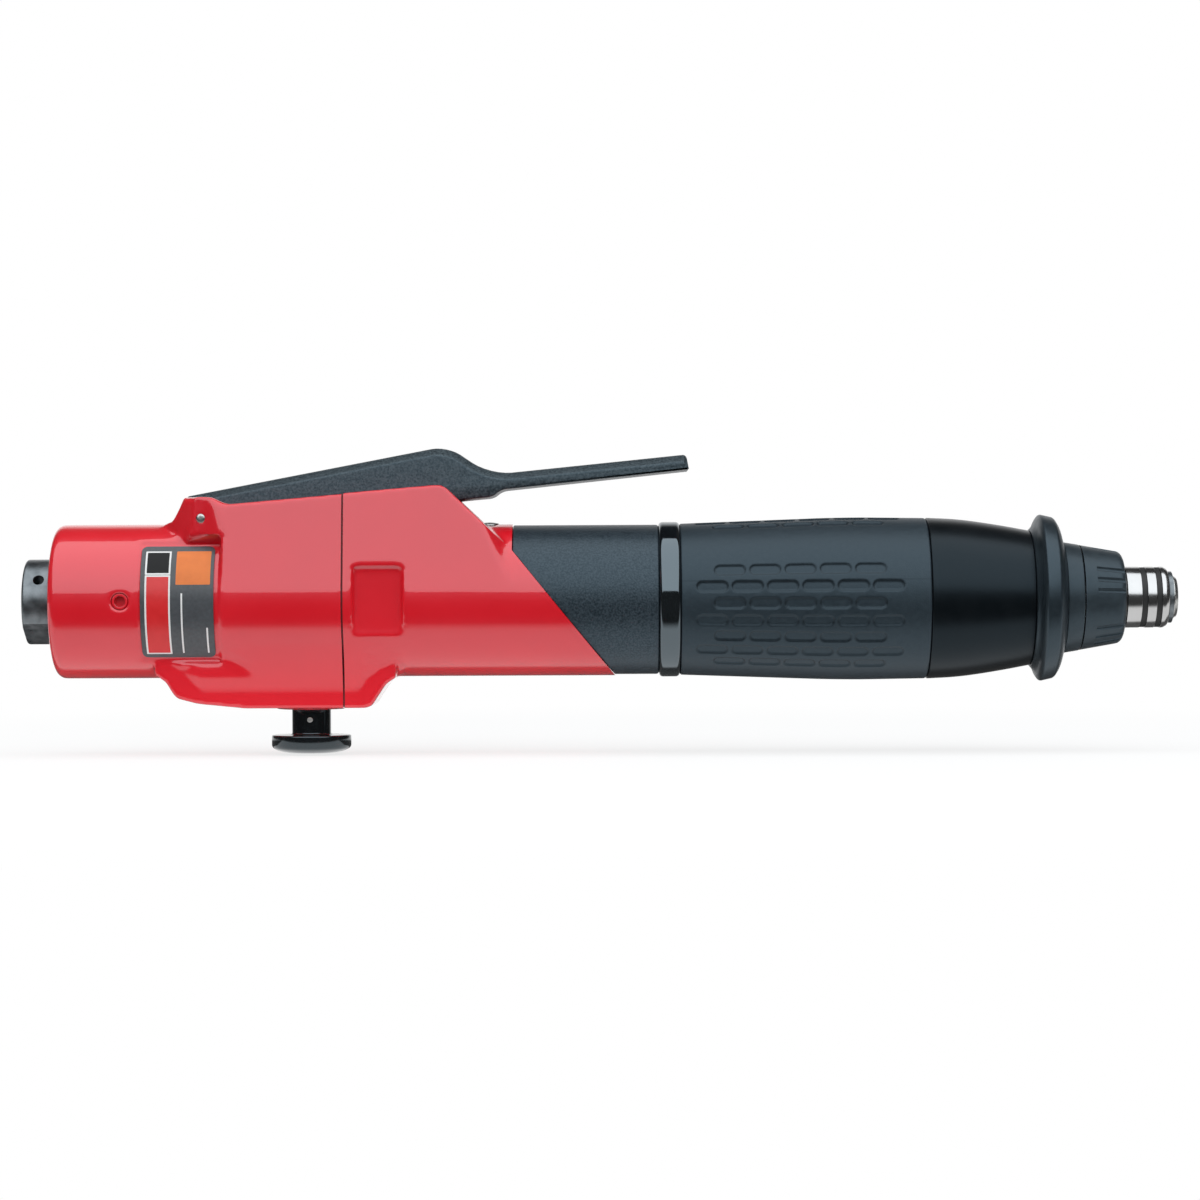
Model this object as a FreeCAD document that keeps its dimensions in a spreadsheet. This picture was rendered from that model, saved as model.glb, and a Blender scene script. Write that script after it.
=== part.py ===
"""Inline pneumatic screwdriver, started by a lever, with a push-in reverse knob and a slip clutch.

Millimetres.  X runs along the spindle axis from the mouth of the air inlet to the bit end,
Z points up through the lever, and the origin is on the axis at the mouth of the inlet.
"""
import FreeCAD, Part
import math
import os
from types import SimpleNamespace

import Sketcher
from FreeCAD import Placement, Rotation, Vector

SIZES = {
    # air inlet bush
    "bush_reach": 6.5,
    "bush_radius": 9.15,
    "bush_flats": 16.0,
    "bush_flat_angle": 30.0,
    "bush_edge": 0.6,
    "shank_radius": 8.0,
    "shank_length": 13.5,
    "thread_wall_radius": 5.72,
    "thread_depth": 12.0,
    "bush_bore_radius": 4.2,
    "spanner_hole_radius": 1.2,
    "spanner_hole_station": 3.6,
    "spanner_hole_angle": 31.0,
    "inlet_ring_wire": 0.9,
    "inlet_ring_back": 3.0,
    "screen_thickness": 0.8,
    "screen_hole_radius": 0.9,
    # casings
    "barrel_radius": 16.6,
    "barrel_edge": 2.0,
    "rear_length": 62.3,
    "gasket_thickness": 0.4,
    "gasket_inset": 0.25,
    "front_barrel_step": 0.2,
    "front_top_length": 35.7,
    "front_low_length": 57.3,
    "slant_top_height": 10.6,
    "slant_low_height": 16.2,
    "flank_tilt": 9.0,
    "block_back": 34.8,
    "block_swell": 3.8,
    "shoulder_start": 4.0,
    "shoulder_length": 6.0,
    "ear_back": 33.8,
    "ear_height": 22.2,
    "ear_corner": 2.3,
    "ear_length": 6.2,
    "dip_back": 24.0,
    "dip_height": 20.6,
    "dip_ramp": 1.8,
    "dip_ramp_height": 0.6,
    "crest_ahead": 19.1,
    "crest_height": 24.5,
    "brow_ahead": 21.2,
    "brow_fall_length": 8.1,
    "brow_fall_depth": 7.7,
    "brow_edge": 0.6,
    "brow_foot_step": 1.8,
    "keel_half_width": 10.5,
    "keel_depth": 22.9,
    "keel_back": 40.1,
    "keel_ahead": 11.3,
    "keel_rear_slope": 4.8,
    "keel_front_slope": 5.2,
    "knob_boss_radius": 7.2,
    "knob_boss_lip": 0.6,
    "passage_radius": 4.0,
    "spigot_radius": 13.2,
    "spigot_length": 3.2,
    "supply_radius": 1.6,
    "supply_height": 9.4,
    "window_length": 10.6,
    "window_half_height": 7.2,
    "window_ahead": 2.0,
    "window_floor": 14.5,
    "window_corner": 1.2,
    # label plate and plug on the near flank
    "label_length": 15.5,
    "label_angle": 92.0,
    "label_recess_angle": 100.0,
    "label_thickness": 0.35,
    "label_depth": 0.6,
    "label_back": 41.9,
    "label_margin": 0.9,
    "plug_radius": 1.8,
    "plug_depth": 5.0,
    "plug_socket": 1.15,
    "plug_back": 46.7,
    # lever and its pin
    "pivot_back": 29.9,
    "pivot_height": 17.6,
    "pin_radius": 1.0,
    "pin_half_length": 13.6,
    "lever_half_width": 7.0,
    "lever_side_gap": 0.3,
    "lever_heel": 3.8,
    "lever_heel_height": 4.8,
    "lever_rise_length": 49.7,
    "lever_rise_height": 15.1,
    "lever_crest_length": 3.0,
    "lever_shoulder_length": 5.5,
    "lever_shoulder_drop": 1.8,
    "lever_neck_length": 9.7,
    "lever_neck_rise": 1.1,
    "lever_fall_length": 62.2,
    "lever_fall_height": 10.3,
    "lever_dish_length": 7.5,
    "lever_paddle_back": 27.7,
    "lever_paddle_rise": 0.5,
    "lever_length": 103.9,
    "lever_tip_height": 13.2,
    "lever_tip_thickness": 3.1,
    "lever_pad_length": 64.3,
    "lever_pad_height": 5.6,
    "lever_pad_step": 1.0,
    "lever_pad_edge": 0.4,
    "lever_pad_ramp": 2.2,
    "lever_belly": 2.7,
    "lever_belly_reach": 4.1,
    "lever_tip_bevel": 1.7,
    "lever_tip_edge": 0.5,
    "slot_floor": 14.2,
    "slot_heel_gap": 0.45,
    "slot_ahead": 23.3,
    "slot_ramp": 4.0,
    # stop screw
    "stop_back": 5.1,
    "stop_head_radius": 2.6,
    "stop_head_top": 16.8,
    "stop_head_thickness": 1.7,
    "stop_shank_radius": 1.3,
    "stop_head_gap": 0.7,
    "stop_head_edge": 0.5,
    "stop_key_width": 0.7,
    "stop_key_depth": 0.8,
    # throttle valve
    "valve_back": 7.6,
    "throttle_bush_radius": 5.0,
    "throttle_bush_bottom": 6.0,
    "throttle_bore_radius": 3.4,
    "throttle_guide_radius": 1.6,
    "throttle_guide_length": 3.4,
    "throttle_stem_radius": 1.5,
    "throttle_lever_gap": 0.05,
    "throttle_stem_edge": 0.4,
    "throttle_seat_gap": 0.05,
    "throttle_chamber_gap": 0.5,
    "throttle_head_radius": 4.0,
    "throttle_head_thickness": 1.6,
    "throttle_seal_thickness": 0.7,
    "throttle_chamber_bottom": 2.2,
    "spring_wire_radius": 0.35,
    # reverse valve and knob
    "reverse_bush_radius": 6.2,
    "reverse_bore_radius": 4.3,
    "reverse_bore_top": 4.8,
    "spool_radius": 4.2,
    "spool_top": 10.0,
    "spool_length": 10.0,
    "spool_hollow_radius": 3.2,
    "spool_hollow_depth": 6.0,
    "spool_shank_radius": 2.4,
    "spool_rim": 1.2,
    "knob_disc_top": 29.1,
    "knob_disc_radius": 8.55,
    "knob_disc_thickness": 2.5,
    "knob_dome": 1.2,
    "knob_edge": 0.4,
    "knob_pin_radius": 0.7,
    "knob_pin_depth": 25.6,
    "running_gap": 0.1,
    # motor
    "bearing_width": 4.0,
    "bearing_outer_radius": 6.5,
    "bearing_bore_radius": 2.5,
    "race_thickness": 1.2,
    "plate_thickness": 5.0,
    "motor_radius": 13.3,
    "motor_length": 35.0,
    "motor_bore_radius": 10.6,
    "motor_offset": 1.0,
    "rotor_radius": 9.5,
    "vane_thickness": 1.2,
    "vane_depth": 3.9,
    "vane_root_gap": 0.3,
    "vane_side_gap": 0.04,
    # reduction gears
    "gear_module": 0.6,
    "gear_backlash": 0.24,
    "gear_addendum": 0.5,
    "gear_dedendum": 0.72,
    "gear_root_sink": 0.3,
    "sun_teeth": 12.0,
    "planet_teeth": 12.0,
    "planet_width": 5.0,
    "planet_bore_radius": 1.3,
    "planet_pin_radius": 1.2,
    "carrier_radius": 9.6,
    "carrier_thickness": 2.5,
    "stage_gap": 0.5,
    # sleeve, band, grip
    "front_bore_step": 27.0,
    "sleeve_radius": 16.1,
    "sleeve_bore_radius": 13.4,
    "sleeve_spigot_radius": 14.8,
    "sleeve_spigot_back": 6.7,
    "sleeve_ahead": 67.0,
    "band_width": 4.6,
    "band_radius": 16.7,
    "band_edge": 0.7,
    "clutch_case_radius": 13.9,
    "clutch_case_bore": 12.0,
    "clutch_case_thread_radius": 13.0,
    "clutch_case_thread_length": 10.0,
    "grip_length": 53.0,
    "grip_rear_radius": 16.3,
    "grip_crest_radius": 17.55,
    "grip_crest_back": 17.8,
    "grip_front_radius": 17.3,
    # clutch
    "cam_radius": 10.5,
    "cam_thickness": 6.0,
    "cam_gap": 1.0,
    "clutch_ball_radius": 1.5,
    "clutch_ball_circle": 7.5,
    "driver_neck": 3.0,
    "thrust_ball_radius": 0.9,
    "thrust_washer_thickness": 1.0,
    "clutch_spring_radius": 8.0,
    "clutch_spring_wire_radius": 1.1,
    "clutch_spring_length": 31.6,
    "clutch_spring_turns": 7.0,
    "seat_radius": 11.5,
    "seat_thickness": 3.0,
    # nose
    "nose_cone_length": 22.4,
    "nose_cone_rear_radius": 17.35,
    "nose_shoulder_length": 6.9,
    "nose_shoulder_radius": 17.05,
    "nose_neck_length": 15.3,
    "nose_neck_radius": 15.85,
    "nose_taper_length": 4.0,
    "nose_taper_drop": 0.6,
    "nose_front_radius": 14.5,
    "nose_wall_ahead": 12.2,
    "snout_radius": 10.9,
    "snout_thread_radius": 10.2,
    "snout_tip_radius": 7.2,
    "snout_tip_length": 5.6,
    "guard_length": 7.0,
    "guard_rim_radius": 18.0,
    "guard_rim_ahead": 2.7,
    "guard_front_radius": 12.2,
    "guard_edge": 0.7,
    "collar_length": 4.0,
    "collar_radius": 12.0,
    "collar_front_radius": 11.35,
    "bezel_length": 8.9,
    "bezel_radius": 11.3,
    "bezel_front_radius": 9.8,
    "bezel_edge": 1.2,
    "bezel_wall": 4.4,
    "bezel_skirt": 1.2,
    "bezel_gap": 0.3,
    "groove_radius": 0.55,
    "groove_length": 6.5,
    "groove_angle": 13.5,
    "groove_groups": 5.0,
    "adjust_ring_thickness": 2.5,
    "adjust_ring_ahead": 1.8,
    "push_pin_radius": 0.7,
    "push_pin_circle": 8.6,
    # spindle and chuck
    "spindle_radius": 4.0,
    "spindle_pilot_radius": 2.0,
    "nose_bearing_radius": 7.0,
    "nose_bearing_bore": 4.0,
    "chuck_radius": 4.9,
    "chuck_reach": 11.7,
    "chuck_shoulder_radius": 5.8,
    "chuck_shoulder_length": 1.0,
    "chuck_nose_radius": 4.7,
    "chuck_nose_length": 0.7,
    "bit_hex_flats": 6.5,
    "bit_hex_depth": 18.0,
    "lock_ball_radius": 1.2,
    "lock_ball_back": 4.3,
    "lock_ball_circle": 3.7,
    "sleeve_front_back": 2.0,
    "chuck_sleeve_length": 9.2,
    "chuck_sleeve_radius": 6.6,
    "chuck_sleeve_shoulder": 4.4,
    "chuck_sleeve_chamfer": 0.5,
    "chuck_sleeve_groove": 0.35,
    "chuck_groove_width": 0.9,
    "chuck_spring_radius": 5.45,
    "chuck_spring_wire_radius": 0.3,
    "snap_ring_radius": 5.55,
    "snap_ring_thickness": 0.9,
    "snap_ring_groove": 4.4,
}

doc = FreeCAD.newDocument("pneumatic_screwdriver")
sheet = doc.addObject("Spreadsheet::Sheet", "Sizes")
pieces = []


class Size:
    """A length or angle that follows the sheet: its value now, and the formula that gives it."""

    def __init__(self, value, formula):
        self.value = value
        self.formula = formula

    def joined(self, sign, other, value):
        return Size(value, "(%s %s %s)" % (self.formula, sign, other.formula))

    def __add__(self, other):
        other = sized(other)
        return self.joined("+", other, self.value + other.value)

    def __sub__(self, other):
        other = sized(other)
        return self.joined("-", other, self.value - other.value)

    def __mul__(self, other):
        other = sized(other)
        return self.joined("*", other, self.value * other.value)

    def __truediv__(self, other):
        other = sized(other)
        return self.joined("/", other, self.value / other.value)

    def __radd__(self, other):
        return sized(other) + self

    def __rsub__(self, other):
        return sized(other) - self

    def __rmul__(self, other):
        return sized(other) * self

    def __neg__(self):
        return sized(0) - self


def sized(amount):
    """A plain number as a Size; a Size is returned as it is."""
    if isinstance(amount, Size):
        return amount
    return Size(float(amount), "(%.9f)" % amount)


def cosine(angle):
    angle = sized(angle)
    return Size(math.cos(math.radians(angle.value)), "cos(%s * 1 deg)" % angle.formula)


def sine(angle):
    angle = sized(angle)
    return Size(math.sin(math.radians(angle.value)), "sin(%s * 1 deg)" % angle.formula)


def fill_sheet():
    """Write the driving dimensions and return them by name."""
    named = {}
    for row, (name, value) in enumerate(SIZES.items(), start=1):
        sheet.set("A%d" % row, name)
        sheet.set("B%d" % row, str(value))
        sheet.setAlias("B%d" % row, name)
        named[name] = Size(value, "Sizes." + name)
    doc.recompute()
    return SimpleNamespace(**named)


s = fill_sheet()


def bind(thing, prop, amount):
    thing.setExpression(prop, sized(amount).formula)


def finished(name, thing):
    """Name a piece that is complete, so that it is written out."""
    thing.Label = name
    pieces.append(thing)
    return thing


# How much a tooth's flank comes in for each millimetre of its height.
TOOTH_LEAN = 0.42

# Turns of a piece that is drawn along X onto the direction that it lies along.
TURNS = {
    "X": Rotation(),
    "Y": Rotation(Vector(0, 0, 1), 90),
    "Z": Rotation(Vector(0, 1, 0), -90),
}


def place(thing, at, rotation):
    thing.Placement = Placement(Vector(*[sized(part).value for part in at]), rotation)
    for axis, part in zip("xyz", at):
        bind(thing, "Placement.Base." + axis, part)


def sketched(body, name, plane, outline, start=0):
    """A closed outline of straight edges on one of the body's planes, each corner dimensioned."""
    sketch = body.newObject("Sketcher::SketchObject", name)
    support = [part for part in body.Origin.OriginFeatures if part.Role == plane][0]
    sketch.AttachmentSupport = (support, [""])
    sketch.MapMode = "FlatFace"
    bind(sketch, "AttachmentOffset.Base.z", start)
    corners = [(sized(across), sized(up)) for across, up in outline]
    spots = [Vector(across.value, up.value, 0) for across, up in corners]
    count = len(corners)
    edges = [Part.LineSegment(spots[i], spots[(i + 1) % count]) for i in range(count)]
    sketch.addGeometry(edges, False)
    rules = [Sketcher.Constraint("Coincident", i, 2, (i + 1) % count, 1) for i in range(count)]
    for i, spot in enumerate(spots):
        rules.append(Sketcher.Constraint("DistanceX", -1, 1, i, 1, spot.x))
        rules.append(Sketcher.Constraint("DistanceY", -1, 1, i, 1, spot.y))
    sketch.addConstraint(rules)
    for i, (across, up) in enumerate(corners):
        bind(sketch, "Constraints[%d]" % (count + 2 * i), across)
        bind(sketch, "Constraints[%d]" % (count + 2 * i + 1), up)
    return sketch


def new_body(name):
    body = doc.addObject("PartDesign::Body", name)
    body.Label = name
    return body


def turned(name, outline, along="X", at=(0, 0, 0), rounds=()):
    """A turned body: (station, radius) corners spun about its axis, some edges rounded."""
    body = new_body(name + "_turning")
    sketch = sketched(body, name + "_profile", "XY_Plane", outline)
    spin = body.newObject("PartDesign::Revolution", name + "_spin")
    spin.Profile = sketch
    spin.ReferenceAxis = (sketch, ["H_Axis"])
    spin.Angle = 360
    for station, radius, roundness in rounds:
        doc.recompute()
        round_rim(body, station, radius, roundness)
    place(body, at, TURNS[along])
    return body


def round_rim(body, station, radius, roundness):
    """Round the circular edge of a turned body at one station and radius."""
    base = body.Tip
    station = sized(station).value
    radius = sized(radius).value
    rims = []
    for index, edge in enumerate(base.Shape.Edges, start=1):
        curve = edge.Curve
        if not isinstance(curve, Part.Circle):
            continue
        if abs(curve.Center.x - station) < 1e-4 and abs(curve.Radius - radius) < 1e-4:
            rims.append("Edge%d" % index)
    fillet = body.newObject("PartDesign::Fillet", body.Name + "_round")
    fillet.Base = (base, rims)
    bind(fillet, "Radius", roundness)
    return fillet


def pad(body, name, plane, outline, length, start=0, symmetric=False):
    """A prism of an outline, from start along the plane's normal or to both sides of it."""
    sketch = sketched(body, name + "_outline", plane, outline, start)
    prism = body.newObject("PartDesign::Pad", name)
    prism.Profile = sketch
    if symmetric:
        prism.SideType = "Symmetric"
    bind(prism, "Length", length)
    return prism


def pocket(body, name, outline, width, plane="XZ_Plane"):
    """A cut right through the piece, its outline seen from the side or, on XY_Plane, from above."""
    sketch = sketched(body, name + "_outline", plane, outline)
    hollow = body.newObject("PartDesign::Pocket", name)
    hollow.Profile = sketch
    hollow.SideType = "Symmetric"
    bind(hollow, "Length", width)
    return hollow


def disc_pad(body, name, radius, start, length):
    """A round prism on the axis, added to a body."""
    sketch = body.newObject("Sketcher::SketchObject", name + "_circle")
    support = [part for part in body.Origin.OriginFeatures if part.Role == "YZ_Plane"][0]
    sketch.AttachmentSupport = (support, [""])
    sketch.MapMode = "FlatFace"
    bind(sketch, "AttachmentOffset.Base.z", start)
    sketch.addGeometry(Part.Circle(Vector(0, 0, 0), Vector(0, 0, 1), sized(radius).value), False)
    sketch.addConstraint(Sketcher.Constraint("Coincident", 0, 3, -1, 1))
    sketch.addConstraint(Sketcher.Constraint("Radius", 0, sized(radius).value))
    bind(sketch, "Constraints[1]", radius)
    prism = body.newObject("PartDesign::Pad", name)
    prism.Profile = sketch
    bind(prism, "Length", length)
    return prism


def cylinder(name, at, radius, length, along="X"):
    """A plain cylinder that starts at a point and runs along one axis."""
    solid = doc.addObject("Part::Cylinder", name)
    bind(solid, "Radius", radius)
    bind(solid, "Height", length)
    upright = Rotation(Vector(0, 1, 0), 90)
    place(solid, at, TURNS[along].multiply(upright))
    return solid


def ball(name, at, radius):
    solid = doc.addObject("Part::Sphere", name)
    bind(solid, "Radius", radius)
    place(solid, at, Rotation())
    return solid


def block(name, low, high):
    """A box between two corners."""
    solid = doc.addObject("Part::Box", name)
    for side, start, end in zip(("Length", "Width", "Height"), low, high):
        bind(solid, side, sized(end) - start)
    place(solid, low, Rotation())
    return solid


def joined(name, solids):
    both = doc.addObject("Part::MultiFuse", name)
    both.Shapes = solids
    return both


def grouped(name, solids):
    """Separate solids that make one sub-part, such as the balls of a bearing."""
    group = doc.addObject("Part::Compound", name)
    group.Links = solids
    return group


def cut(name, base, tools):
    tool = tools[0]
    if len(tools) > 1:
        tool = joined(name + "_cuts", tools)
    result = doc.addObject("Part::Cut", name)
    result.Base = base
    result.Tool = tool
    return result


def around(radius, angle):
    """The y and z of a point at a radius, the angle counted from the side (+Y) upwards."""
    return radius * cosine(angle), radius * sine(angle)


# Stations along the axis, each from the one before it.
rear_start = s.bush_reach
seam = rear_start + s.rear_length
front_start = seam + s.gasket_thickness
plate_start = front_start + s.spigot_length
cylinder_start = plate_start + s.plate_thickness
cylinder_end = cylinder_start + s.motor_length
gears_start = cylinder_end + s.plate_thickness
stage_length = s.planet_width + s.carrier_thickness + s.stage_gap * 3
sleeve_end = front_start + s.sleeve_ahead
band_end = sleeve_end + s.band_width
grip_end = band_end + s.grip_length
nose_end = grip_end + s.nose_cone_length
guard_end = nose_end + s.guard_length
collar_end = guard_end + s.collar_length
bezel_end = collar_end + s.bezel_length
pivot = seam - s.pivot_back
valve = seam - s.valve_back
stop = front_start + s.front_top_length - s.stop_back
planet_circle = (s.sun_teeth + s.planet_teeth) * s.gear_module / 2
ring_teeth = s.sun_teeth + s.planet_teeth * 2


def air_inlet_bush():
    """Round hose bush with spanner flats, two pin holes and a pipe thread's bore."""
    shank_end = rear_start + s.shank_length
    groove_end = shank_end - s.inlet_ring_back
    groove_start = groove_end - s.inlet_ring_wire * 2
    groove_floor = s.shank_radius - s.inlet_ring_wire * 1.6
    bush = turned("bush", [
        (0, s.thread_wall_radius), (0, s.bush_radius - s.bush_edge),
        (s.bush_edge, s.bush_radius), (s.bush_reach, s.bush_radius),
        (s.bush_reach, s.shank_radius), (groove_start, s.shank_radius),
        (groove_start, groove_floor), (groove_end, groove_floor),
        (groove_end, s.shank_radius), (shank_end, s.shank_radius),
        (shank_end, s.bush_bore_radius), (s.thread_depth, s.bush_bore_radius),
        (s.thread_depth, s.thread_wall_radius)])
    flats = []
    for side in (-1, 1):
        near = s.bush_flats / 2
        far = s.bush_radius * 2
        low = (0, -far, near) if side > 0 else (0, -far, -far)
        high = (s.bush_reach, far, far) if side > 0 else (s.bush_reach, far, -near)
        flat = block("bush_flat_%d" % (side + 2), low, high)
        # The box turns about the tool's axis, so its corner turns with it.
        corner_y = sized(low[1])
        corner_z = sized(low[2])
        turn = s.bush_flat_angle
        flat.Placement = Placement(Vector(0, 0, 0), Rotation(Vector(1, 0, 0), turn.value))
        bind(flat, "Placement.Base.y", corner_y * cosine(turn) - corner_z * sine(turn))
        bind(flat, "Placement.Base.z", corner_y * sine(turn) + corner_z * cosine(turn))
        bind(flat, "Placement.Rotation.Angle", turn)
        flats.append(flat)
    pin_hole = cylinder("bush_pin_hole", (s.spanner_hole_station, 0, 0), s.spanner_hole_radius,
                        s.bush_radius * 3, "Y")
    reach = s.bush_radius * 1.5
    turn = -s.spanner_hole_angle
    pin_hole.Placement.Rotation = Rotation(Vector(1, 0, 0), -90 + turn.value)
    bind(pin_hole, "Placement.Base.y", -reach * cosine(turn))
    bind(pin_hole, "Placement.Base.z", -reach * sine(turn))
    finished("air_inlet_bush", cut("bush_cut", bush, flats + [pin_hole]))
    middle = (groove_start + groove_end) / 2
    ring = doc.addObject("Part::Torus", "inlet_ring")
    bind(ring, "Radius1", s.shank_radius - s.inlet_ring_wire * 0.72)
    bind(ring, "Radius2", s.inlet_ring_wire * 0.68)
    place(ring, (middle, 0, 0), Rotation(Vector(0, 1, 0), 90))
    finished("inlet_o_ring", ring)


def inlet_screen():
    """Perforated brass disc behind the bush that catches grit."""
    start = rear_start + s.shank_length
    disc = cylinder("screen_disc", (start, 0, 0), s.shank_radius - s.running_gap, s.screen_thickness)
    holes = [cylinder("screen_hole_0", (start, 0, 0), s.screen_hole_radius, s.screen_thickness)]
    for index in range(6):
        y, z = around(s.screen_hole_radius * 2.9, index * 60)
        holes.append(cylinder("screen_hole_%d" % (index + 1), (start, y, z), s.screen_hole_radius,
                              s.screen_thickness))
    finished("inlet_screen", cut("screen", disc, holes))


def pear(body, name, radius, height, start, length):
    """Flat flanks that leave the barrel at its side and lean together towards the top."""
    waist = radius * cosine(s.flank_tilt)
    waist_height = radius * sine(s.flank_tilt)
    lean = sine(s.flank_tilt) / cosine(s.flank_tilt)
    shoulder = waist - (height - waist_height) * lean
    pad(body, name, "YZ_Plane", [
        (-waist, waist_height), (waist, waist_height), (shoulder, height), (-shoulder, height)],
        length, start)


def slot_tool():
    """The lever's slot through both casings, as a solid to be taken away."""
    body = new_body("slot_body")
    start = pivot - s.lever_heel - s.slot_heel_gap
    ahead = front_start + s.slot_ahead
    end = front_start + s.front_top_length + s.slot_ramp / 2
    lift = s.barrel_radius - s.front_barrel_step + s.lever_side_gap
    top = s.crest_height * 2
    pad(body, "slot_prism", "XZ_Plane", [
        (start, s.slot_floor), (ahead, s.slot_floor), (ahead + s.slot_ramp, lift),
        (end, lift), (end, top), (start, top)],
        (s.lever_half_width + s.lever_side_gap) * 2, symmetric=True)
    return body


def rear_housing(slot):
    """Rear casting: barrel, rear half of the lever block, keel with the reverse valve, passages."""
    body = new_body("rear_casting")
    top = s.crest_height * 1.1
    block_start = seam - s.block_back
    swell = s.block_swell
    pear(body, "rear_pear", s.barrel_radius, top, block_start - swell, s.block_back + swell)
    ear = seam - s.ear_back
    dip = seam - s.dip_back
    seam_height = s.dip_height + (s.crest_height - s.dip_height) * 0.55
    above = top * 1.2
    pocket(body, "rear_skyline", [
        (block_start - swell - 1, s.barrel_radius), (block_start - swell, s.barrel_radius),
        (block_start - swell * 0.45, s.barrel_radius + 0.5),
        (block_start, s.ear_height - s.ear_corner), (ear, s.ear_height),
        (ear + s.ear_length, s.ear_height),
        (dip - s.dip_ramp, s.dip_height + s.dip_ramp_height), (dip, s.dip_height),
        (seam + 1, seam_height), (seam + 1, above), (block_start - swell - 1, above)],
        s.barrel_radius * 3)
    wide = s.barrel_radius * 1.1
    for side in (-1, 1):
        pocket(body, "rear_shoulder_%d" % (side + 2), [
            (block_start - swell - 1, wide * side),
            (block_start - swell - 1, s.shoulder_start * side),
            (block_start - swell * 0.45, s.shoulder_start * 2 * side),
            (block_start + s.shoulder_length / 2, s.shoulder_start * 3 * side),
            (block_start + s.shoulder_length, wide * side)], s.barrel_radius * 4, "XY_Plane")
    disc_pad(body, "rear_barrel", s.barrel_radius, rear_start, s.rear_length)
    keel = seam - s.keel_back
    slope = s.keel_rear_slope
    drop = s.keel_depth - s.barrel_radius
    pad(body, "rear_keel", "XZ_Plane", [
        (keel, -s.barrel_radius * 0.94), (keel + slope * 0.48, -s.barrel_radius - drop * 0.1),
        (keel + slope * 0.8, -s.barrel_radius - drop * 0.5),
        (keel + slope, -s.barrel_radius - drop * 0.66),
        (keel + slope * 1.9, -s.barrel_radius - drop * 0.84),
        (keel + slope * 4, -s.keel_depth), (seam, -s.keel_depth), (seam, -s.barrel_radius / 2),
        (keel, -s.barrel_radius / 2)], s.keel_half_width * 2, symmetric=True)
    disc_pad(body, "rear_spigot", s.spigot_radius, seam, s.gasket_thickness + s.spigot_length)
    doc.recompute()
    round_rim(body, rear_start, s.barrel_radius, s.barrel_edge)
    boss = cylinder("knob_boss", (valve, 0, -s.keel_depth - s.knob_boss_lip), s.knob_boss_radius,
                    s.keel_depth / 2, "Z")
    whole = joined("rear_blank", [body, boss])
    shank = s.shank_length + s.screen_thickness
    label_start = seam - s.label_back - s.label_margin
    label_length = s.label_length + s.label_margin * 2
    band = turned_sector("label_recess", label_start, label_length,
                         s.barrel_radius - s.label_depth, s.barrel_radius * 1.2,
                         s.label_recess_angle)
    tools = [
        slot,
        band,
        cylinder("bush_socket", (rear_start, 0, 0), s.shank_radius, shank),
        cylinder("air_passage", (rear_start, 0, 0), s.passage_radius, valve - rear_start),
        cylinder("throttle_socket", (valve, 0, s.throttle_bush_bottom), s.throttle_bush_radius,
                 s.barrel_radius, "Z"),
        cylinder("throttle_chamber", (valve, 0, -s.throttle_chamber_bottom),
                 s.throttle_head_radius + s.throttle_chamber_gap,
                 s.throttle_chamber_bottom * 2 + s.throttle_bush_bottom, "Z"),
        cylinder("reverse_socket", (valve, 0, -s.keel_depth * 2), s.reverse_bush_radius,
                 s.keel_depth * 2 - s.reverse_bore_top, "Z"),
        cylinder("supply_passage", (valve, 0, s.supply_height), s.supply_radius,
                 plate_start - valve),
        cylinder("pin_hole", (pivot, -s.barrel_radius * 2, s.pivot_height), s.pin_radius,
                 s.barrel_radius * 4, "Y"),
        cylinder("plug_hole", (seam - s.plug_back, -s.barrel_radius * 2, 0), s.plug_radius,
                 s.barrel_radius + s.plug_depth, "Y"),
    ]
    finished("rear_housing", cut("rear_cut", whole, tools))


def turned_sector(name, start, length, inner, outer, wrap):
    """Part of a tube wall, centred on the near side of the tool (-Y)."""
    body = new_body(name + "_sector")
    sketch = sketched(body, name + "_section", "XY_Plane", [
        (start, -inner), (start + length, -inner), (start + length, -outer), (start, -outer)])
    spin = body.newObject("PartDesign::Revolution", name + "_sweep")
    spin.Profile = sketch
    spin.ReferenceAxis = (sketch, ["H_Axis"])
    spin.Midplane = True
    bind(spin, "Angle", wrap)
    return body


def flank_details():
    """The bare plate on the near flank, and the plug screw behind it."""
    floor = s.barrel_radius - s.label_depth
    plate = turned_sector("label", seam - s.label_back, s.label_length, floor,
                          floor + s.label_thickness, s.label_angle)
    finished("label_plate", plate)
    plug = cylinder("plug_body", (seam - s.plug_back, -s.barrel_radius, 0), s.plug_radius,
                    s.plug_depth, "Y")
    socket = cylinder("plug_key", (seam - s.plug_back, -s.barrel_radius, 0), s.plug_socket,
                      s.plug_depth / 2, "Y")
    finished("port_plug", cut("plug_cut", plug, [socket]))


def housing_gasket(slot):
    """Thin sheet between the two castings, of their common section."""
    body = new_body("gasket_sheet")
    thickness = s.gasket_thickness
    seam_height = s.dip_height + (s.crest_height - s.dip_height) * 0.5
    radius = s.barrel_radius - s.front_barrel_step - s.gasket_inset
    pear(body, "gasket_pear", radius, seam_height, seam, thickness)
    disc_pad(body, "gasket_disc", radius, seam, thickness)
    side = s.keel_half_width - s.gasket_inset
    foot = s.keel_depth - s.gasket_inset
    pad(body, "gasket_keel", "YZ_Plane", [
        (-side, -radius / 2), (side, -radius / 2), (side, -foot), (-side, -foot)], thickness, seam)
    hole = cylinder("gasket_hole", (seam, 0, 0), s.spigot_radius, thickness)
    finished("housing_gasket", cut("gasket_cut", body, [slot, hole]))


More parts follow.
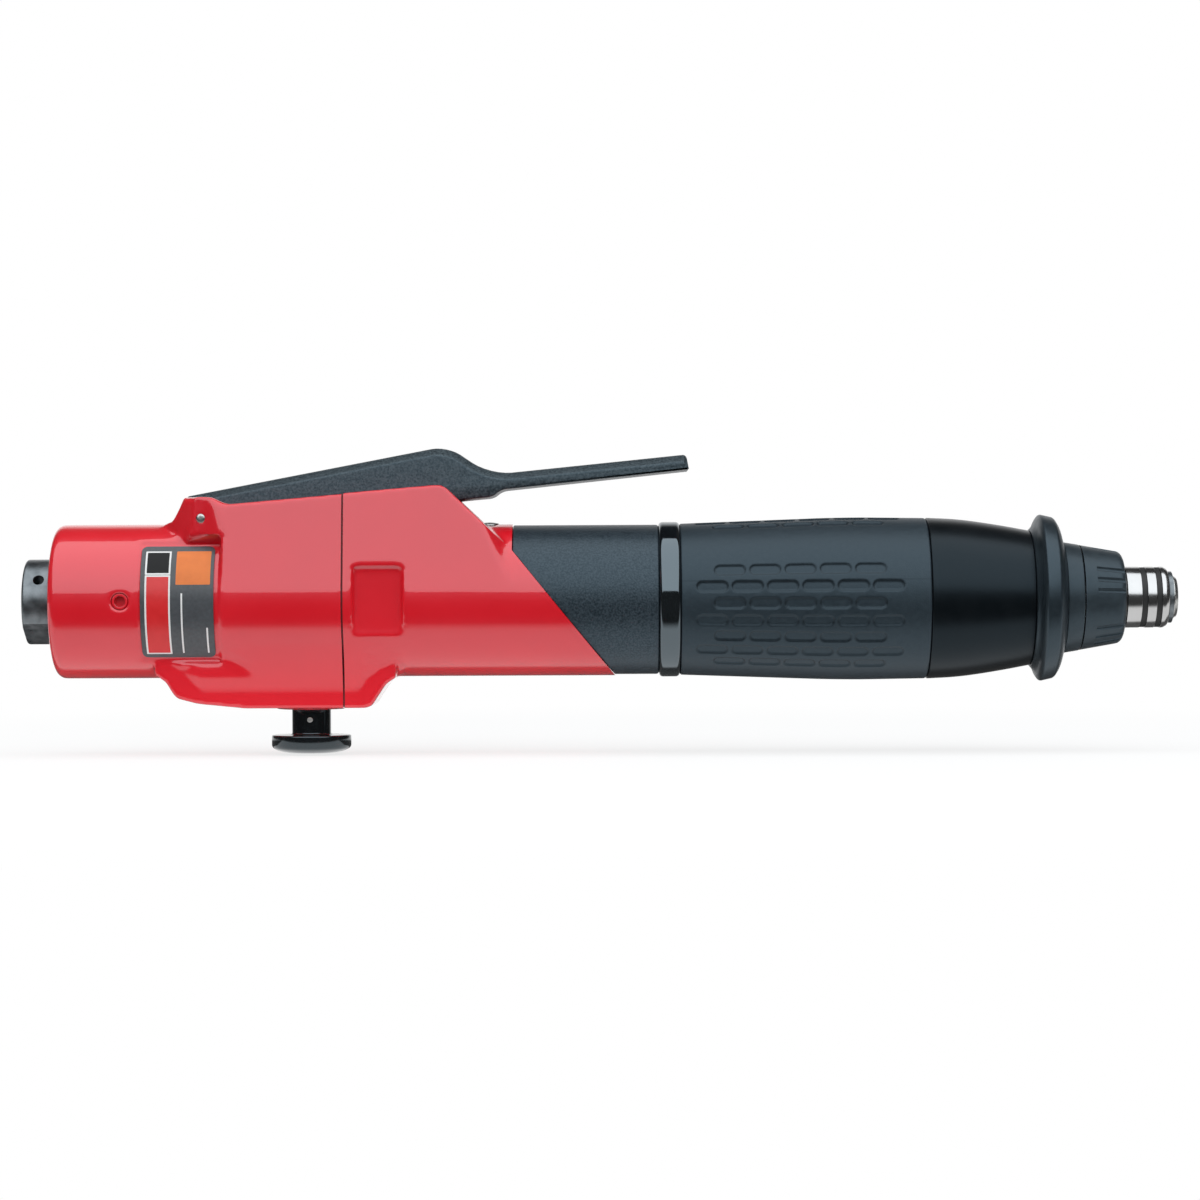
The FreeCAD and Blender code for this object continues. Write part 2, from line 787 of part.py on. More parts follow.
def front_housing(slot):
    """Front casting: the motor's barrel, the front of the lever block and of the keel."""
    body = new_body("front_casting")
    radius = s.barrel_radius - s.front_barrel_step
    top = s.crest_height * 1.1
    pear(body, "front_pear", radius, top, front_start, s.front_top_length)
    crest = front_start + s.crest_ahead
    brow = front_start + s.brow_ahead
    seam_height = s.dip_height + (s.crest_height - s.dip_height) * 0.56
    end = front_start + s.front_top_length
    foot = brow + s.brow_fall_length
    low = s.crest_height - s.brow_fall_depth
    above = top * 1.2
    pocket(body, "front_skyline", [
        (front_start - 1, seam_height), (crest, s.crest_height),
        (brow - s.brow_edge, s.crest_height), (brow + s.brow_edge, s.crest_height - s.brow_edge),
        (foot, low), (foot + s.brow_foot_step, low - s.brow_foot_step),
        (foot + s.brow_foot_step * 2, low - s.brow_foot_step * 2),
        (end + 1, s.slant_top_height - 1),
        (end + 1, above), (front_start - 1, above)], radius * 3)
    disc_pad(body, "front_barrel", radius, front_start, s.front_low_length)
    ahead = seam + s.keel_ahead
    slope = s.keel_front_slope
    drop = s.keel_depth - radius
    pad(body, "front_keel", "XZ_Plane", [
        (front_start, -radius / 2), (ahead, -radius / 2), (ahead, -radius),
        (ahead - slope * 0.4, -radius - drop * 0.2), (ahead - slope * 0.75, -radius - drop * 0.62),
        (ahead - slope, -s.keel_depth + drop * 0.07), (ahead - slope * 1.25, -s.keel_depth),
        (front_start, -s.keel_depth)], s.keel_half_width * 2, symmetric=True)
    low_end = front_start + s.front_low_length
    reach = radius * 1.5
    pocket(body, "slant_cut", [
        (end, reach), (end, s.slant_top_height), (low_end, -s.slant_low_height),
        (low_end, -reach), (low_end + reach, -reach), (low_end + reach, reach)], radius * 3)
    step = front_start + s.front_bore_step
    window_start = seam + s.gasket_thickness + s.window_ahead
    tools = [
        slot,
        cylinder("motor_socket", (front_start, 0, 0), s.sleeve_bore_radius, s.front_low_length),
        cylinder("spigot_socket", (step, 0, 0), s.sleeve_spigot_radius + s.running_gap,
                 s.front_low_length),
        window(window_start),
        cylinder("stop_counterbore", (stop, 0, s.stop_head_top - s.stop_head_thickness),
                 s.stop_head_radius + s.stop_head_gap, s.barrel_radius, "Z"),
        cylinder("stop_hole", (stop, 0, 0), s.stop_shank_radius, s.barrel_radius, "Z"),
    ]
    finished("front_housing", cut("front_cut", body, tools))


def window(start):
    """Flat floored recess with round corners in the near flank of the front casting."""
    end = start + s.window_length
    outer = -s.barrel_radius * 1.3
    floor = -s.window_floor
    half = s.window_half_height
    corner = s.window_corner
    parts = [
        block("window_wide", (start, outer, -half + corner), (end, floor, half - corner)),
        block("window_tall", (start + corner, outer, -half), (end - corner, floor, half)),
    ]
    for x in (start + corner, end - corner):
        for z in (-half + corner, half - corner):
            parts.append(cylinder("window_corner", (x, outer, z), corner, floor - outer, "Y"))
    return joined("window_tool", parts)


def lever_and_pin():
    """The long throttle lever, its pivot pin, and the screw that it lands on."""
    body = new_body("lever_bar")
    x = pivot
    z = sized(s.pivot_height)
    rise = x + s.lever_rise_length
    fall = x + s.lever_fall_length
    fall_top = z + s.lever_fall_height
    tip = x + s.lever_length
    tip_top = z + s.lever_tip_height
    pad(body, "lever_side", "XZ_Plane", [
        (x - s.lever_heel, z + s.lever_heel_height),
        (x - s.lever_heel, z - s.lever_belly * 0.3),
        (x - s.lever_heel * 0.6, z - s.lever_belly),
        (x + s.lever_belly, z - s.lever_belly),
        (rise + s.lever_belly_reach, z + s.lever_pad_height * 0.7),
        (x + s.lever_pad_length - s.lever_pad_ramp, z + s.lever_pad_height - s.lever_pad_step),
        (x + s.lever_pad_length, z + s.lever_pad_height + s.lever_pad_edge),
        (tip, tip_top - s.lever_tip_thickness), (tip, tip_top - s.lever_tip_edge),
        (tip - s.lever_tip_bevel, tip_top),
        (tip - s.lever_paddle_back, fall_top + s.lever_paddle_rise),
        (fall + s.lever_dish_length, fall_top), (fall, fall_top),
        (rise + s.lever_neck_length, fall_top + s.lever_neck_rise),
        (rise + s.lever_shoulder_length, z + s.lever_rise_height - s.lever_shoulder_drop),
        (rise + s.lever_crest_length, z + s.lever_rise_height),
        (rise, z + s.lever_rise_height)],
        s.lever_half_width * 2, symmetric=True)
    hole = cylinder("lever_hole", (pivot, -s.barrel_radius, s.pivot_height),
                    s.pin_radius + s.running_gap / 2, s.barrel_radius * 2, "Y")
    finished("lever", cut("lever_cut", body, [hole]))
    half = s.pin_half_length
    pin = turned("pivot_pin", [
        (-half, 0), (-half, s.pin_radius * 0.6), (-half + s.pin_radius * 0.4, s.pin_radius),
        (half - s.pin_radius * 0.4, s.pin_radius), (half, s.pin_radius * 0.6), (half, 0)],
        "Y", (pivot, 0, s.pivot_height))
    finished("lever_pin", pin)
    head_bottom = s.stop_head_top - s.stop_head_thickness
    shank_end = s.sleeve_bore_radius + s.running_gap
    screw = turned("stop", [
        (shank_end, 0), (shank_end, s.stop_shank_radius), (head_bottom, s.stop_shank_radius),
        (head_bottom, s.stop_head_radius),
        (s.stop_head_top - s.stop_head_edge, s.stop_head_radius),
        (s.stop_head_top, s.stop_head_radius - s.stop_head_edge), (s.stop_head_top, 0)],
        "Z", (stop, 0, 0))
    across = s.stop_head_radius * 2
    key = block("stop_key",
                (stop - s.stop_key_width / 2, -across, s.stop_head_top - s.stop_key_depth),
                (stop + s.stop_key_width / 2, across, s.stop_head_top * 2))
    finished("stop_screw", cut("stop_cut", screw, [key]))


def coil(name, radius, wire, start, length, turns, along, at):
    """A compression spring of round wire, its wire's outside between start and start + length."""
    radius = sized(radius).value
    wire = sized(wire).value
    rise = sized(length).value - 2 * wire
    helix = Part.makeHelix(rise / turns, rise, radius)
    section = Part.Wire([Part.makeCircle(wire, Vector(radius, 0, 0), Vector(0, 1, 0))])
    spring = Part.Wire(helix.Edges).makePipeShell([section], True, True)
    feature = doc.addObject("Part::Feature", name)
    feature.Shape = spring
    upright = Rotation(Vector(0, 1, 0), 90)
    base = list(at)
    base["XYZ".index(along)] = base["XYZ".index(along)] + start + wire
    place(feature, base, TURNS[along].multiply(upright))
    return finished(name, feature)


def throttle_valve():
    """Bush, stem with its seat ring and return spring, under the lever."""
    at = (valve, 0, 0)
    bottom = s.throttle_bush_bottom
    top = s.slot_floor
    guide = top - s.throttle_guide_length
    bush = turned("throttle_liner", [
        (bottom, s.throttle_bore_radius), (bottom, s.throttle_bush_radius),
        (top, s.throttle_bush_radius), (top, s.throttle_guide_radius),
        (guide, s.throttle_guide_radius), (guide, s.throttle_bore_radius)], "Z", at)
    port = cylinder("throttle_port", (valve, 0, s.supply_height), s.supply_radius,
                    s.throttle_bush_radius * 2)
    finished("throttle_bush", cut("throttle_liner_cut", bush, [port]))
    belly_run = s.lever_rise_length + s.lever_belly_reach - s.lever_belly
    belly_rise = s.lever_pad_height * 0.7 + s.lever_belly
    arm = valve - pivot - s.lever_belly - s.throttle_stem_radius
    stem_top = s.pivot_height - s.lever_belly + arm * belly_rise / belly_run - s.throttle_lever_gap
    seal_top = bottom - s.throttle_seat_gap
    seal_bottom = seal_top - s.throttle_seal_thickness
    head_bottom = seal_bottom - s.throttle_head_thickness
    stem = turned("throttle_rod", [
        (head_bottom, 0), (head_bottom, s.throttle_head_radius),
        (seal_bottom, s.throttle_head_radius), (seal_bottom, s.throttle_stem_radius),
        (stem_top - s.throttle_stem_edge, s.throttle_stem_radius),
        (stem_top, s.throttle_stem_radius - s.throttle_stem_edge), (stem_top, 0)], "Z", at)
    finished("throttle_stem", stem)
    ring = turned("throttle_ring", [
        (seal_bottom, s.throttle_stem_radius), (seal_bottom, s.throttle_head_radius),
        (seal_top, s.throttle_head_radius), (seal_top, s.throttle_stem_radius)], "Z", at)
    finished("throttle_seal", ring)
    length = head_bottom + s.throttle_chamber_bottom
    coil("throttle_spring", s.throttle_stem_radius * 1.6, s.spring_wire_radius,
         -s.throttle_chamber_bottom, length, 3, "Z", at)


def reverse_valve():
    """Bush, spool, return spring, and the knob pinned on the spool's shank."""
    at = (valve, 0, 0)
    bottom = -s.keel_depth
    liner_top = -s.reverse_bore_top
    bush = turned("reverse_liner", [
        (bottom, s.reverse_bore_radius), (bottom, s.reverse_bush_radius),
        (liner_top, s.reverse_bush_radius), (liner_top, s.reverse_bore_radius)], "Z", at)
    finished("reverse_bush", bush)
    top = -s.spool_top
    foot = top - s.spool_length
    shank_end = -s.knob_disc_top
    neck = s.spool_radius * 0.7
    hollow = top - s.spool_hollow_depth
    spool = turned("reverse_spool", [
        (top, s.spool_hollow_radius), (top, s.spool_radius),
        (foot + s.spool_rim * 2, s.spool_radius), (foot + s.spool_rim * 2, neck),
        (foot + s.spool_rim, neck), (foot + s.spool_rim, s.spool_radius), (foot, s.spool_radius),
        (foot, s.spool_shank_radius), (shank_end, s.spool_shank_radius), (shank_end, 0),
        (hollow, 0), (hollow, s.spool_hollow_radius)], "Z", at)
    pin_hole = cylinder("spool_pin_hole", (valve, -s.spool_radius * 2, -s.knob_pin_depth),
                        s.knob_pin_radius, s.spool_radius * 4, "Y")
    finished("reverse_spool", cut("spool_cut", spool, [pin_hole]))
    disc_top = -s.knob_disc_top
    disc_bottom = disc_top - s.knob_disc_thickness
    dome = disc_bottom - s.knob_dome
    radius = s.knob_disc_radius
    knob = turned("knob", [
        (foot, s.spool_shank_radius), (foot, s.spool_radius), (disc_top, s.spool_radius),
        (disc_top, radius - s.knob_edge), (disc_top - s.knob_edge, radius), (disc_bottom, radius),
        (dome + s.knob_dome * 0.35, radius * 0.75), (dome, radius * 0.3), (dome, 0),
        (shank_end, 0), (shank_end, s.spool_shank_radius)], "Z", at)
    knob_hole = cylinder("knob_pin_hole", (valve, -s.spool_radius * 2, -s.knob_pin_depth),
                         s.knob_pin_radius, s.spool_radius * 4, "Y")
    finished("reverse_knob", cut("knob_cut", knob, [knob_hole]))
    half = s.spool_radius - s.running_gap
    pin = cylinder("roll_pin", (valve, -half, -s.knob_pin_depth), s.knob_pin_radius, half * 2, "Y")
    finished("knob_pin", pin)
    length = s.spool_top + s.spool_hollow_depth - s.reverse_bore_top
    coil("reverse_spring", s.spool_hollow_radius * 0.8, s.spring_wire_radius, hollow, length, 5,
         "Z", at)


def bearing(name, start, width, outer, bore, race):
    """A ball bearing: outer race with its balls, and the inner race by itself."""
    ring = turned(name + "_outer_race", [
        (start, outer - race), (start, outer), (start + width, outer),
        (start + width, outer - race)])
    inner = turned(name + "_inner_race", [
        (start, bore), (start, bore + race), (start + width, bore + race),
        (start + width, bore)])
    middle = (outer + bore) / 2
    room = (outer - bore - race * 2) / 2
    balls = []
    for index in range(8):
        y, z = around(middle, index * 45)
        balls.append(ball(name + "_ball", (start + width / 2, y, z), room - s.running_gap / 2))
    return [ring] + balls, inner


def motor():
    """Vane motor: two end plates, eccentric cylinder, rotor with five vanes, two bearings."""
    outer_parts = []
    inner_parts = []
    ends = ((plate_start, plate_start, 1), (cylinder_end, cylinder_end + s.plate_thickness, -1))
    for name, (start, open_face, way) in zip(("rear_end_plate", "front_end_plate"), ends):
        end = start + s.plate_thickness
        bearing_start = start if way > 0 else end - s.bearing_width
        plate = cylinder(name + "_disc", (start, 0, 0), s.motor_radius, s.plate_thickness)
        seat = cylinder(name + "_seat", (bearing_start, 0, 0), s.bearing_outer_radius,
                        s.bearing_width)
        bore = cylinder(name + "_bore", (start, 0, 0), s.bearing_bore_radius + s.race_thickness,
                        s.plate_thickness)
        port = cylinder(name + "_port", (start, 0, s.supply_height), s.supply_radius,
                        s.plate_thickness)
        cuts = [seat, bore, port] if way > 0 else [seat, bore]
        finished(name, cut(name + "_cut", plate, cuts))
        outer, inner = bearing(name + "_bearing", bearing_start, s.bearing_width,
                               s.bearing_outer_radius, s.bearing_bore_radius, s.race_thickness)
        outer_parts.extend(outer)
        inner_parts.append(inner)
    finished("motor_bearings", grouped("bearing_group", outer_parts))
    finished("motor_inner_races", grouped("race_group", inner_parts))
    shell = cylinder("motor_shell", (cylinder_start, 0, 0), s.motor_radius, s.motor_length)
    chamber = cylinder("motor_chamber", (cylinder_start, 0, s.motor_offset), s.motor_bore_radius,
                       s.motor_length)
    finished("motor_cylinder", cut("motor_cut", shell, [chamber]))
    face = s.running_gap / 2
    start = cylinder_start + face
    length = s.motor_length - face * 2
    journal_start = plate_start
    journal_end = gears_start + s.stage_gap
    core = joined("rotor_core", [
        cylinder("rotor_drum", (start, 0, 0), s.rotor_radius, length),
        cylinder("rotor_shaft", (journal_start, 0, 0), s.bearing_bore_radius,
                 gears_start - journal_start),
        cylinder("rotor_nose", (journal_start, 0, 0), s.bearing_bore_radius * 0.6,
                 journal_end + s.planet_width - journal_start)])
    slots = []
    vanes = []
    inner = s.rotor_radius - s.vane_depth - s.vane_root_gap
    for index in range(5):
        angle = index * 72 + 90
        wide = s.vane_thickness + s.vane_side_gap * 2
        slots.append(vane_block("slot_%d" % index, start - 1, length + 2, inner,
                                s.rotor_radius + 1, wide, angle))
        vanes.append(vane_block("vane_%d" % index, start, length, inner + s.vane_root_gap,
                                s.rotor_radius - face, s.vane_thickness, angle))
    finished("rotor", cut("rotor_cut", core, slots))
    finished("rotor_vanes", grouped("vane_group", vanes))


def vane_block(name, start, length, inner, outer, thickness, angle):
    """A flat bar that stands out of the rotor at an angle."""
    bar = doc.addObject("Part::Box", name)
    bind(bar, "Length", length)
    bind(bar, "Width", thickness)
    bind(bar, "Height", outer - inner)
    half = thickness / 2
    lean = angle - 90
    at = (start, -half * cosine(lean) - inner * sine(lean),
          inner * cosine(lean) - half * sine(lean))
    place(bar, at, Rotation(Vector(1, 0, 0), lean))
    return bar


def toothed(name, teeth, pitch_radius, start, width, inside=False, bore=None, outer=None,
            turn=0.0):
    """A spur gear, or a ring with teeth inside, made from one tooth repeated round the axis."""
    sign = -1 if inside else 1
    tip = pitch_radius + s.gear_addendum * sign
    root = pitch_radius - s.gear_dedendum * sign
    half = (s.gear_module * math.pi / 2 - s.gear_backlash) / 2
    tip_half = half - s.gear_addendum * TOOTH_LEAN
    root_half = half + s.gear_dedendum * TOOTH_LEAN
    overlap = s.gear_root_sink * sign
    body = new_body(name + "_wheel")
    if inside:
        tube = [(start, root), (start, outer), (start + width, outer), (start + width, root)]
    else:
        tube = [(start, bore), (start, root), (start + width, root), (start + width, bore)]
    sketch = sketched(body, name + "_blank_profile", "XY_Plane", tube)
    spin = body.newObject("PartDesign::Revolution", name + "_blank")
    spin.Profile = sketch
    spin.ReferenceAxis = (sketch, ["H_Axis"])
    spin.Angle = 360
    tooth = pad(body, name + "_tooth", "YZ_Plane", [
        (root - overlap, -root_half), (root, -root_half), (pitch_radius, -half),
        (tip, -tip_half), (tip, tip_half), (pitch_radius, half), (root, root_half),
        (root - overlap, root_half)], width, start)
    repeat = body.newObject("PartDesign::PolarPattern", name + "_teeth")
    repeat.Originals = [tooth]
    axis = [part for part in body.Origin.OriginFeatures if part.Role == "X_Axis"][0]
    repeat.Axis = (axis, [""])
    repeat.Angle = 360
    repeat.Occurrences = int(round(teeth.value))
    bind(repeat, "Occurrences", teeth)
    body.Tip = repeat
    place(body, (0, 0, 0), Rotation(Vector(1, 0, 0), turn))
    return body


def gear_train():
    """Two planetary stages in one internal ring: suns, three planets each, carriers with pins."""
    length = stage_length * 2 + s.stage_gap
    ring = toothed("ring", ring_teeth, ring_teeth * s.gear_module / 2, gears_start, length,
                   inside=True, outer=s.motor_radius)
    finished("ring_gear", ring)
    sun_radius = s.sun_teeth * s.gear_module / 2
    planet_radius = s.planet_teeth * s.gear_module / 2
    bore = s.bearing_bore_radius * 0.6
    pinion_start = gears_start + s.stage_gap
    pinion = toothed("pinion", s.sun_teeth, sun_radius, pinion_start, s.planet_width, bore=bore)
    finished("motor_pinion", pinion)
    for stage in (1, 2):
        start = gears_start + s.stage_gap + stage_length * (stage - 1)
        plate_at = start + s.planet_width + s.stage_gap
        pins = []
        for index, letter in enumerate("abc"):
            angle = index * 120
            y, z = around(planet_circle, angle)
            name = "planet_%d%s" % (stage, letter)
            wheel = toothed(name, s.planet_teeth, planet_radius, start, s.planet_width,
                            bore=s.planet_bore_radius, turn=angle + 180 / s.planet_teeth.value)
            place(wheel, (0, y, z), Rotation(Vector(1, 0, 0), angle + 180 / s.planet_teeth.value))
            finished(name, wheel)
            pins.append(cylinder("planet_pin", (start, y, z), s.planet_pin_radius,
                                 s.planet_width + s.stage_gap + s.carrier_thickness))
        plate = cylinder("carrier_plate", (plate_at, 0, 0), s.carrier_radius, s.carrier_thickness)
        if stage == 1:
            middle = toothed("second_sun", s.sun_teeth, sun_radius,
                             plate_at + s.carrier_thickness, s.stage_gap + s.planet_width,
                             bore=bore)
        else:
            middle = cylinder("carrier_hub", (plate_at, 0, 0), s.spindle_radius,
                              driver_start - plate_at)
        name = "carrier_%d" % stage
        finished(name, joined(name + "_join", [plate, middle] + pins))


driver_start = gears_start + s.stage_gap + stage_length * 2 + s.driver_neck
driver_end = driver_start + s.cam_thickness
driven_start = driver_end + s.cam_gap
driven_end = driven_start + s.cam_thickness
thrust_start = driven_end + s.running_gap
washer_start = thrust_start + s.thrust_ball_radius * 2
spring_start = washer_start + s.thrust_washer_thickness + s.running_gap
seat_start = spring_start + s.clutch_spring_length
nose_wall = grip_end + s.nose_wall_ahead
spindle_end = bezel_end + s.chuck_reach
sleeve_front = spindle_end - s.sleeve_front_back
sleeve_rear = sleeve_front - s.chuck_sleeve_length


def sleeve_band_grip():
    """Motor sleeve behind the grip, the clamp band, the rubber grip and the clutch case in it."""
    start = front_start + s.front_top_length
    low_end = front_start + s.front_low_length
    spigot_start = front_start + s.front_bore_step
    spigot_end = sleeve_end - s.sleeve_spigot_back
    reach = s.sleeve_radius * 1.5
    gap = s.running_gap
    body = new_body("sleeve_blank")
    sketch = sketched(body, "sleeve_profile", "XY_Plane", [
        (start, s.sleeve_bore_radius), (start, s.sleeve_radius), (sleeve_end, s.sleeve_radius),
        (sleeve_end, s.sleeve_bore_radius)])
    spin = body.newObject("PartDesign::Revolution", "sleeve_tube")
    spin.Profile = sketch
    spin.ReferenceAxis = (sketch, ["H_Axis"])
    spin.Angle = 360
    pocket(body, "sleeve_slant", [
        (start - 1, reach), (start + gap, reach), (start + gap, s.slant_top_height),
        (low_end + gap, -s.slant_low_height), (low_end + gap, -reach), (start - 1, -reach)],
        s.sleeve_radius * 3)
    spigot_profile = sketched(body, "spigot_profile", "XY_Plane", [
        (spigot_start, s.sleeve_bore_radius), (spigot_start, s.sleeve_spigot_radius),
        (spigot_end, s.sleeve_spigot_radius), (spigot_end, s.sleeve_bore_radius)])
    spigot = body.newObject("PartDesign::Revolution", "sleeve_spigot")
    spigot.Profile = spigot_profile
    spigot.ReferenceAxis = (spigot_profile, ["H_Axis"])
    spigot.Angle = 360
    hole = cylinder("sleeve_screw_hole", (stop, 0, 0), s.stop_shank_radius, s.barrel_radius, "Z")
    finished("motor_sleeve", cut("sleeve_cut", body, [hole]))
    band = turned("band", [
        (sleeve_end, s.clutch_case_radius), (sleeve_end, s.band_radius - s.band_edge),
        (sleeve_end + s.band_edge * 0.4, s.band_radius - s.band_edge * 0.25),
        (sleeve_end + s.band_edge, s.band_radius), (band_end - s.band_edge, s.band_radius),
        (band_end - s.band_edge * 0.4, s.band_radius - s.band_edge * 0.25),
        (band_end, s.band_radius - s.band_edge), (band_end, s.clutch_case_radius)])
    finished("clamp_band", band)
    crest = grip_end - s.grip_crest_back
    grip = turned("grip", [
        (band_end, s.clutch_case_radius), (band_end, s.grip_rear_radius),
        (crest, s.grip_crest_radius), (grip_end, s.grip_front_radius),
        (grip_end, s.clutch_case_radius)])
    finished("rubber_grip", grip)
    thread_end = grip_end + s.clutch_case_thread_length
    case_start = gears_start + length_of_ring()
    case = turned("case", [
        (case_start, s.clutch_case_bore), (case_start, s.sleeve_bore_radius - gap),
        (sleeve_end, s.sleeve_bore_radius - gap), (sleeve_end, s.clutch_case_radius),
        (grip_end, s.clutch_case_radius), (grip_end, s.clutch_case_thread_radius),
        (thread_end, s.clutch_case_thread_radius), (thread_end, s.clutch_case_bore)])
    finished("clutch_case", case)


def length_of_ring():
    return stage_length * 2 + s.stage_gap


def clutch():
    """Ball cams, thrust bearing, main spring and the seat that the bezel moves."""
    cam = turned("driver_cam_disc", [
        (driver_start, s.spindle_pilot_radius + s.running_gap), (driver_start, s.cam_radius),
        (driver_end, s.cam_radius), (driver_end, s.spindle_pilot_radius + s.running_gap)])
    middle = (driver_end + driven_start) / 2
    driver_pockets = []
    driven_pockets = []
    balls = []
    for index in range(3):
        y, z = around(s.clutch_ball_circle, index * 120 + 30)
        pocket_radius = s.clutch_ball_radius + s.running_gap
        driver_pockets.append(ball("driver_pocket", (middle, y, z), pocket_radius))
        driven_pockets.append(ball("driven_pocket", (middle, y, z), pocket_radius))
        balls.append(ball("cam_ball", (middle, y, z), s.clutch_ball_radius))
    finished("driver_cam", cut("driver_cam_cut", cam, driver_pockets))
    finished("clutch_balls", grouped("cam_ball_group", balls))
    driven = turned("driven_cam_disc", [
        (driven_start, s.spindle_radius), (driven_start, s.cam_radius),
        (driven_end, s.cam_radius), (driven_end, s.spindle_radius)])
    finished("driven_cam", cut("driven_cam_cut", driven, driven_pockets))
    washer = turned("thrust_washer", [
        (washer_start, s.clutch_spring_radius * 0.7), (washer_start, s.seat_radius - 0.3),
        (washer_start + s.thrust_washer_thickness, s.seat_radius - 0.3),
        (washer_start + s.thrust_washer_thickness, s.clutch_spring_radius * 0.7)])
    thrust_balls = []
    for index in range(8):
        y, z = around(s.clutch_spring_radius, index * 45)
        spot = (thrust_start + s.thrust_ball_radius, y, z)
        thrust_balls.append(ball("thrust_ball", spot, s.thrust_ball_radius))
    finished("thrust_bearing", grouped("thrust_group", [washer] + thrust_balls))
    coil("clutch_spring", s.clutch_spring_radius, s.clutch_spring_wire_radius, spring_start,
         s.clutch_spring_length, SIZES["clutch_spring_turns"], "X", (sized(0), 0, 0))
    seat = turned("seat", [
        (seat_start, s.spindle_radius * 1.4), (seat_start, s.seat_radius),
        (seat_start + s.seat_thickness, s.seat_radius),
        (seat_start + s.seat_thickness, s.spindle_radius * 1.4)])
    finished("spring_seat", seat)


def nose():
    """Nose cone with its snout, hand guard, lock collar, torque bezel and what it drives."""
    gap = s.running_gap
    thread_end = grip_end + s.clutch_case_thread_length
    shoulder = grip_end + s.nose_shoulder_length
    neck = grip_end + s.nose_neck_length
    bearing_end = nose_wall + s.bearing_width
    tip = collar_end + s.snout_tip_length
    cone = turned("cone", [
        (grip_end, s.clutch_case_thread_radius), (grip_end, s.nose_cone_rear_radius),
        (shoulder, s.nose_shoulder_radius), (neck, s.nose_neck_radius),
        (neck + s.nose_taper_length, s.nose_neck_radius - s.nose_taper_drop),
        (nose_end, s.nose_front_radius),
        (nose_end, s.snout_radius), (guard_end, s.snout_radius),
        (guard_end, s.snout_thread_radius), (collar_end, s.snout_thread_radius),
        (collar_end, s.snout_tip_radius), (tip, s.snout_tip_radius),
        (tip, s.spindle_radius + gap * 3), (bearing_end, s.spindle_radius + gap * 12),
        (bearing_end, s.nose_bearing_radius), (nose_wall, s.nose_bearing_radius),
        (nose_wall, s.clutch_case_bore), (thread_end, s.clutch_case_bore),
        (thread_end, s.clutch_case_thread_radius)])
    holes = []
    pins = []
    pin_start = seat_start + s.seat_thickness
    ring_start = collar_end + s.adjust_ring_ahead
    for index in range(3):
        y, z = around(s.push_pin_circle, index * 120 + 90)
        holes.append(cylinder("push_hole", (nose_wall - 1, y, z), s.push_pin_radius + gap,
                              collar_end - nose_wall + 2))
        pins.append(cylinder("push_pin", (pin_start, y, z), s.push_pin_radius,
                             ring_start - pin_start))
    finished("nose_cone", cut("cone_cut", cone, holes))
    finished("adjust_pins", grouped("push_pin_group", pins))
    rim = nose_end + s.guard_rim_ahead
    edge = s.guard_edge
    guard = turned("guard", [
        (nose_end, s.snout_radius), (nose_end, s.nose_front_radius),
        (rim - edge * 2, s.guard_rim_radius - edge * 3), (rim - edge, s.guard_rim_radius - edge),
        (rim, s.guard_rim_radius), (rim + edge * 1.7, s.guard_rim_radius - edge * 0.3),
        (guard_end - edge * 1.7, s.guard_rim_radius - edge * 4),
        (guard_end, s.guard_front_radius),
        (guard_end, s.snout_radius)])
    finished("hand_guard", guard)
    collar_face = collar_end - s.bezel_gap
    collar = turned("collar", [
        (guard_end, s.snout_thread_radius), (guard_end, s.collar_radius),
        (collar_face, s.collar_front_radius), (collar_face, s.snout_thread_radius)])
    finished("front_collar", collar)
    wall = bezel_end - s.bezel_wall
    skirt = s.bezel_radius - s.bezel_skirt
    edge = s.bezel_edge
    front = s.bezel_front_radius
    bezel = turned("bezel", [
        (collar_end, skirt), (collar_end, s.bezel_radius), (bezel_end - edge, front),
        (bezel_end - edge * 0.3, front - edge * 0.3), (bezel_end, front - edge),
        (bezel_end, s.snout_tip_radius + gap), (wall, s.snout_tip_radius + gap), (wall, skirt)])
    grooves = []
    groups = int(round(s.groove_groups.value))
    for group in range(groups):
        for line in (-1, 0, 1):
            angle = 360 / groups * group + 201 + line * s.groove_angle
            y, z = around(s.bezel_radius - s.groove_radius * 0.64, angle)
            grooves.append(cylinder("groove", (bezel_end - s.groove_length, y, z),
                                    s.groove_radius, s.groove_length + 1))
    finished("adjust_bezel", cut("bezel_cut", bezel, grooves))
    ring = turned("adjust_nut", [
        (ring_start, s.snout_tip_radius + gap * 2), (ring_start, skirt - gap),
        (ring_start + s.adjust_ring_thickness, skirt - gap),
        (ring_start + s.adjust_ring_thickness, s.snout_tip_radius + gap * 2)])
    finished("adjust_ring", ring)
    outer, inner = bearing("nose_bearing", nose_wall, s.bearing_width, s.nose_bearing_radius,
                           s.nose_bearing_bore, s.race_thickness * 0.7)
    finished("spindle_bearing", grouped("nose_bearing_group", outer))
    finished("spindle_inner_race", inner)


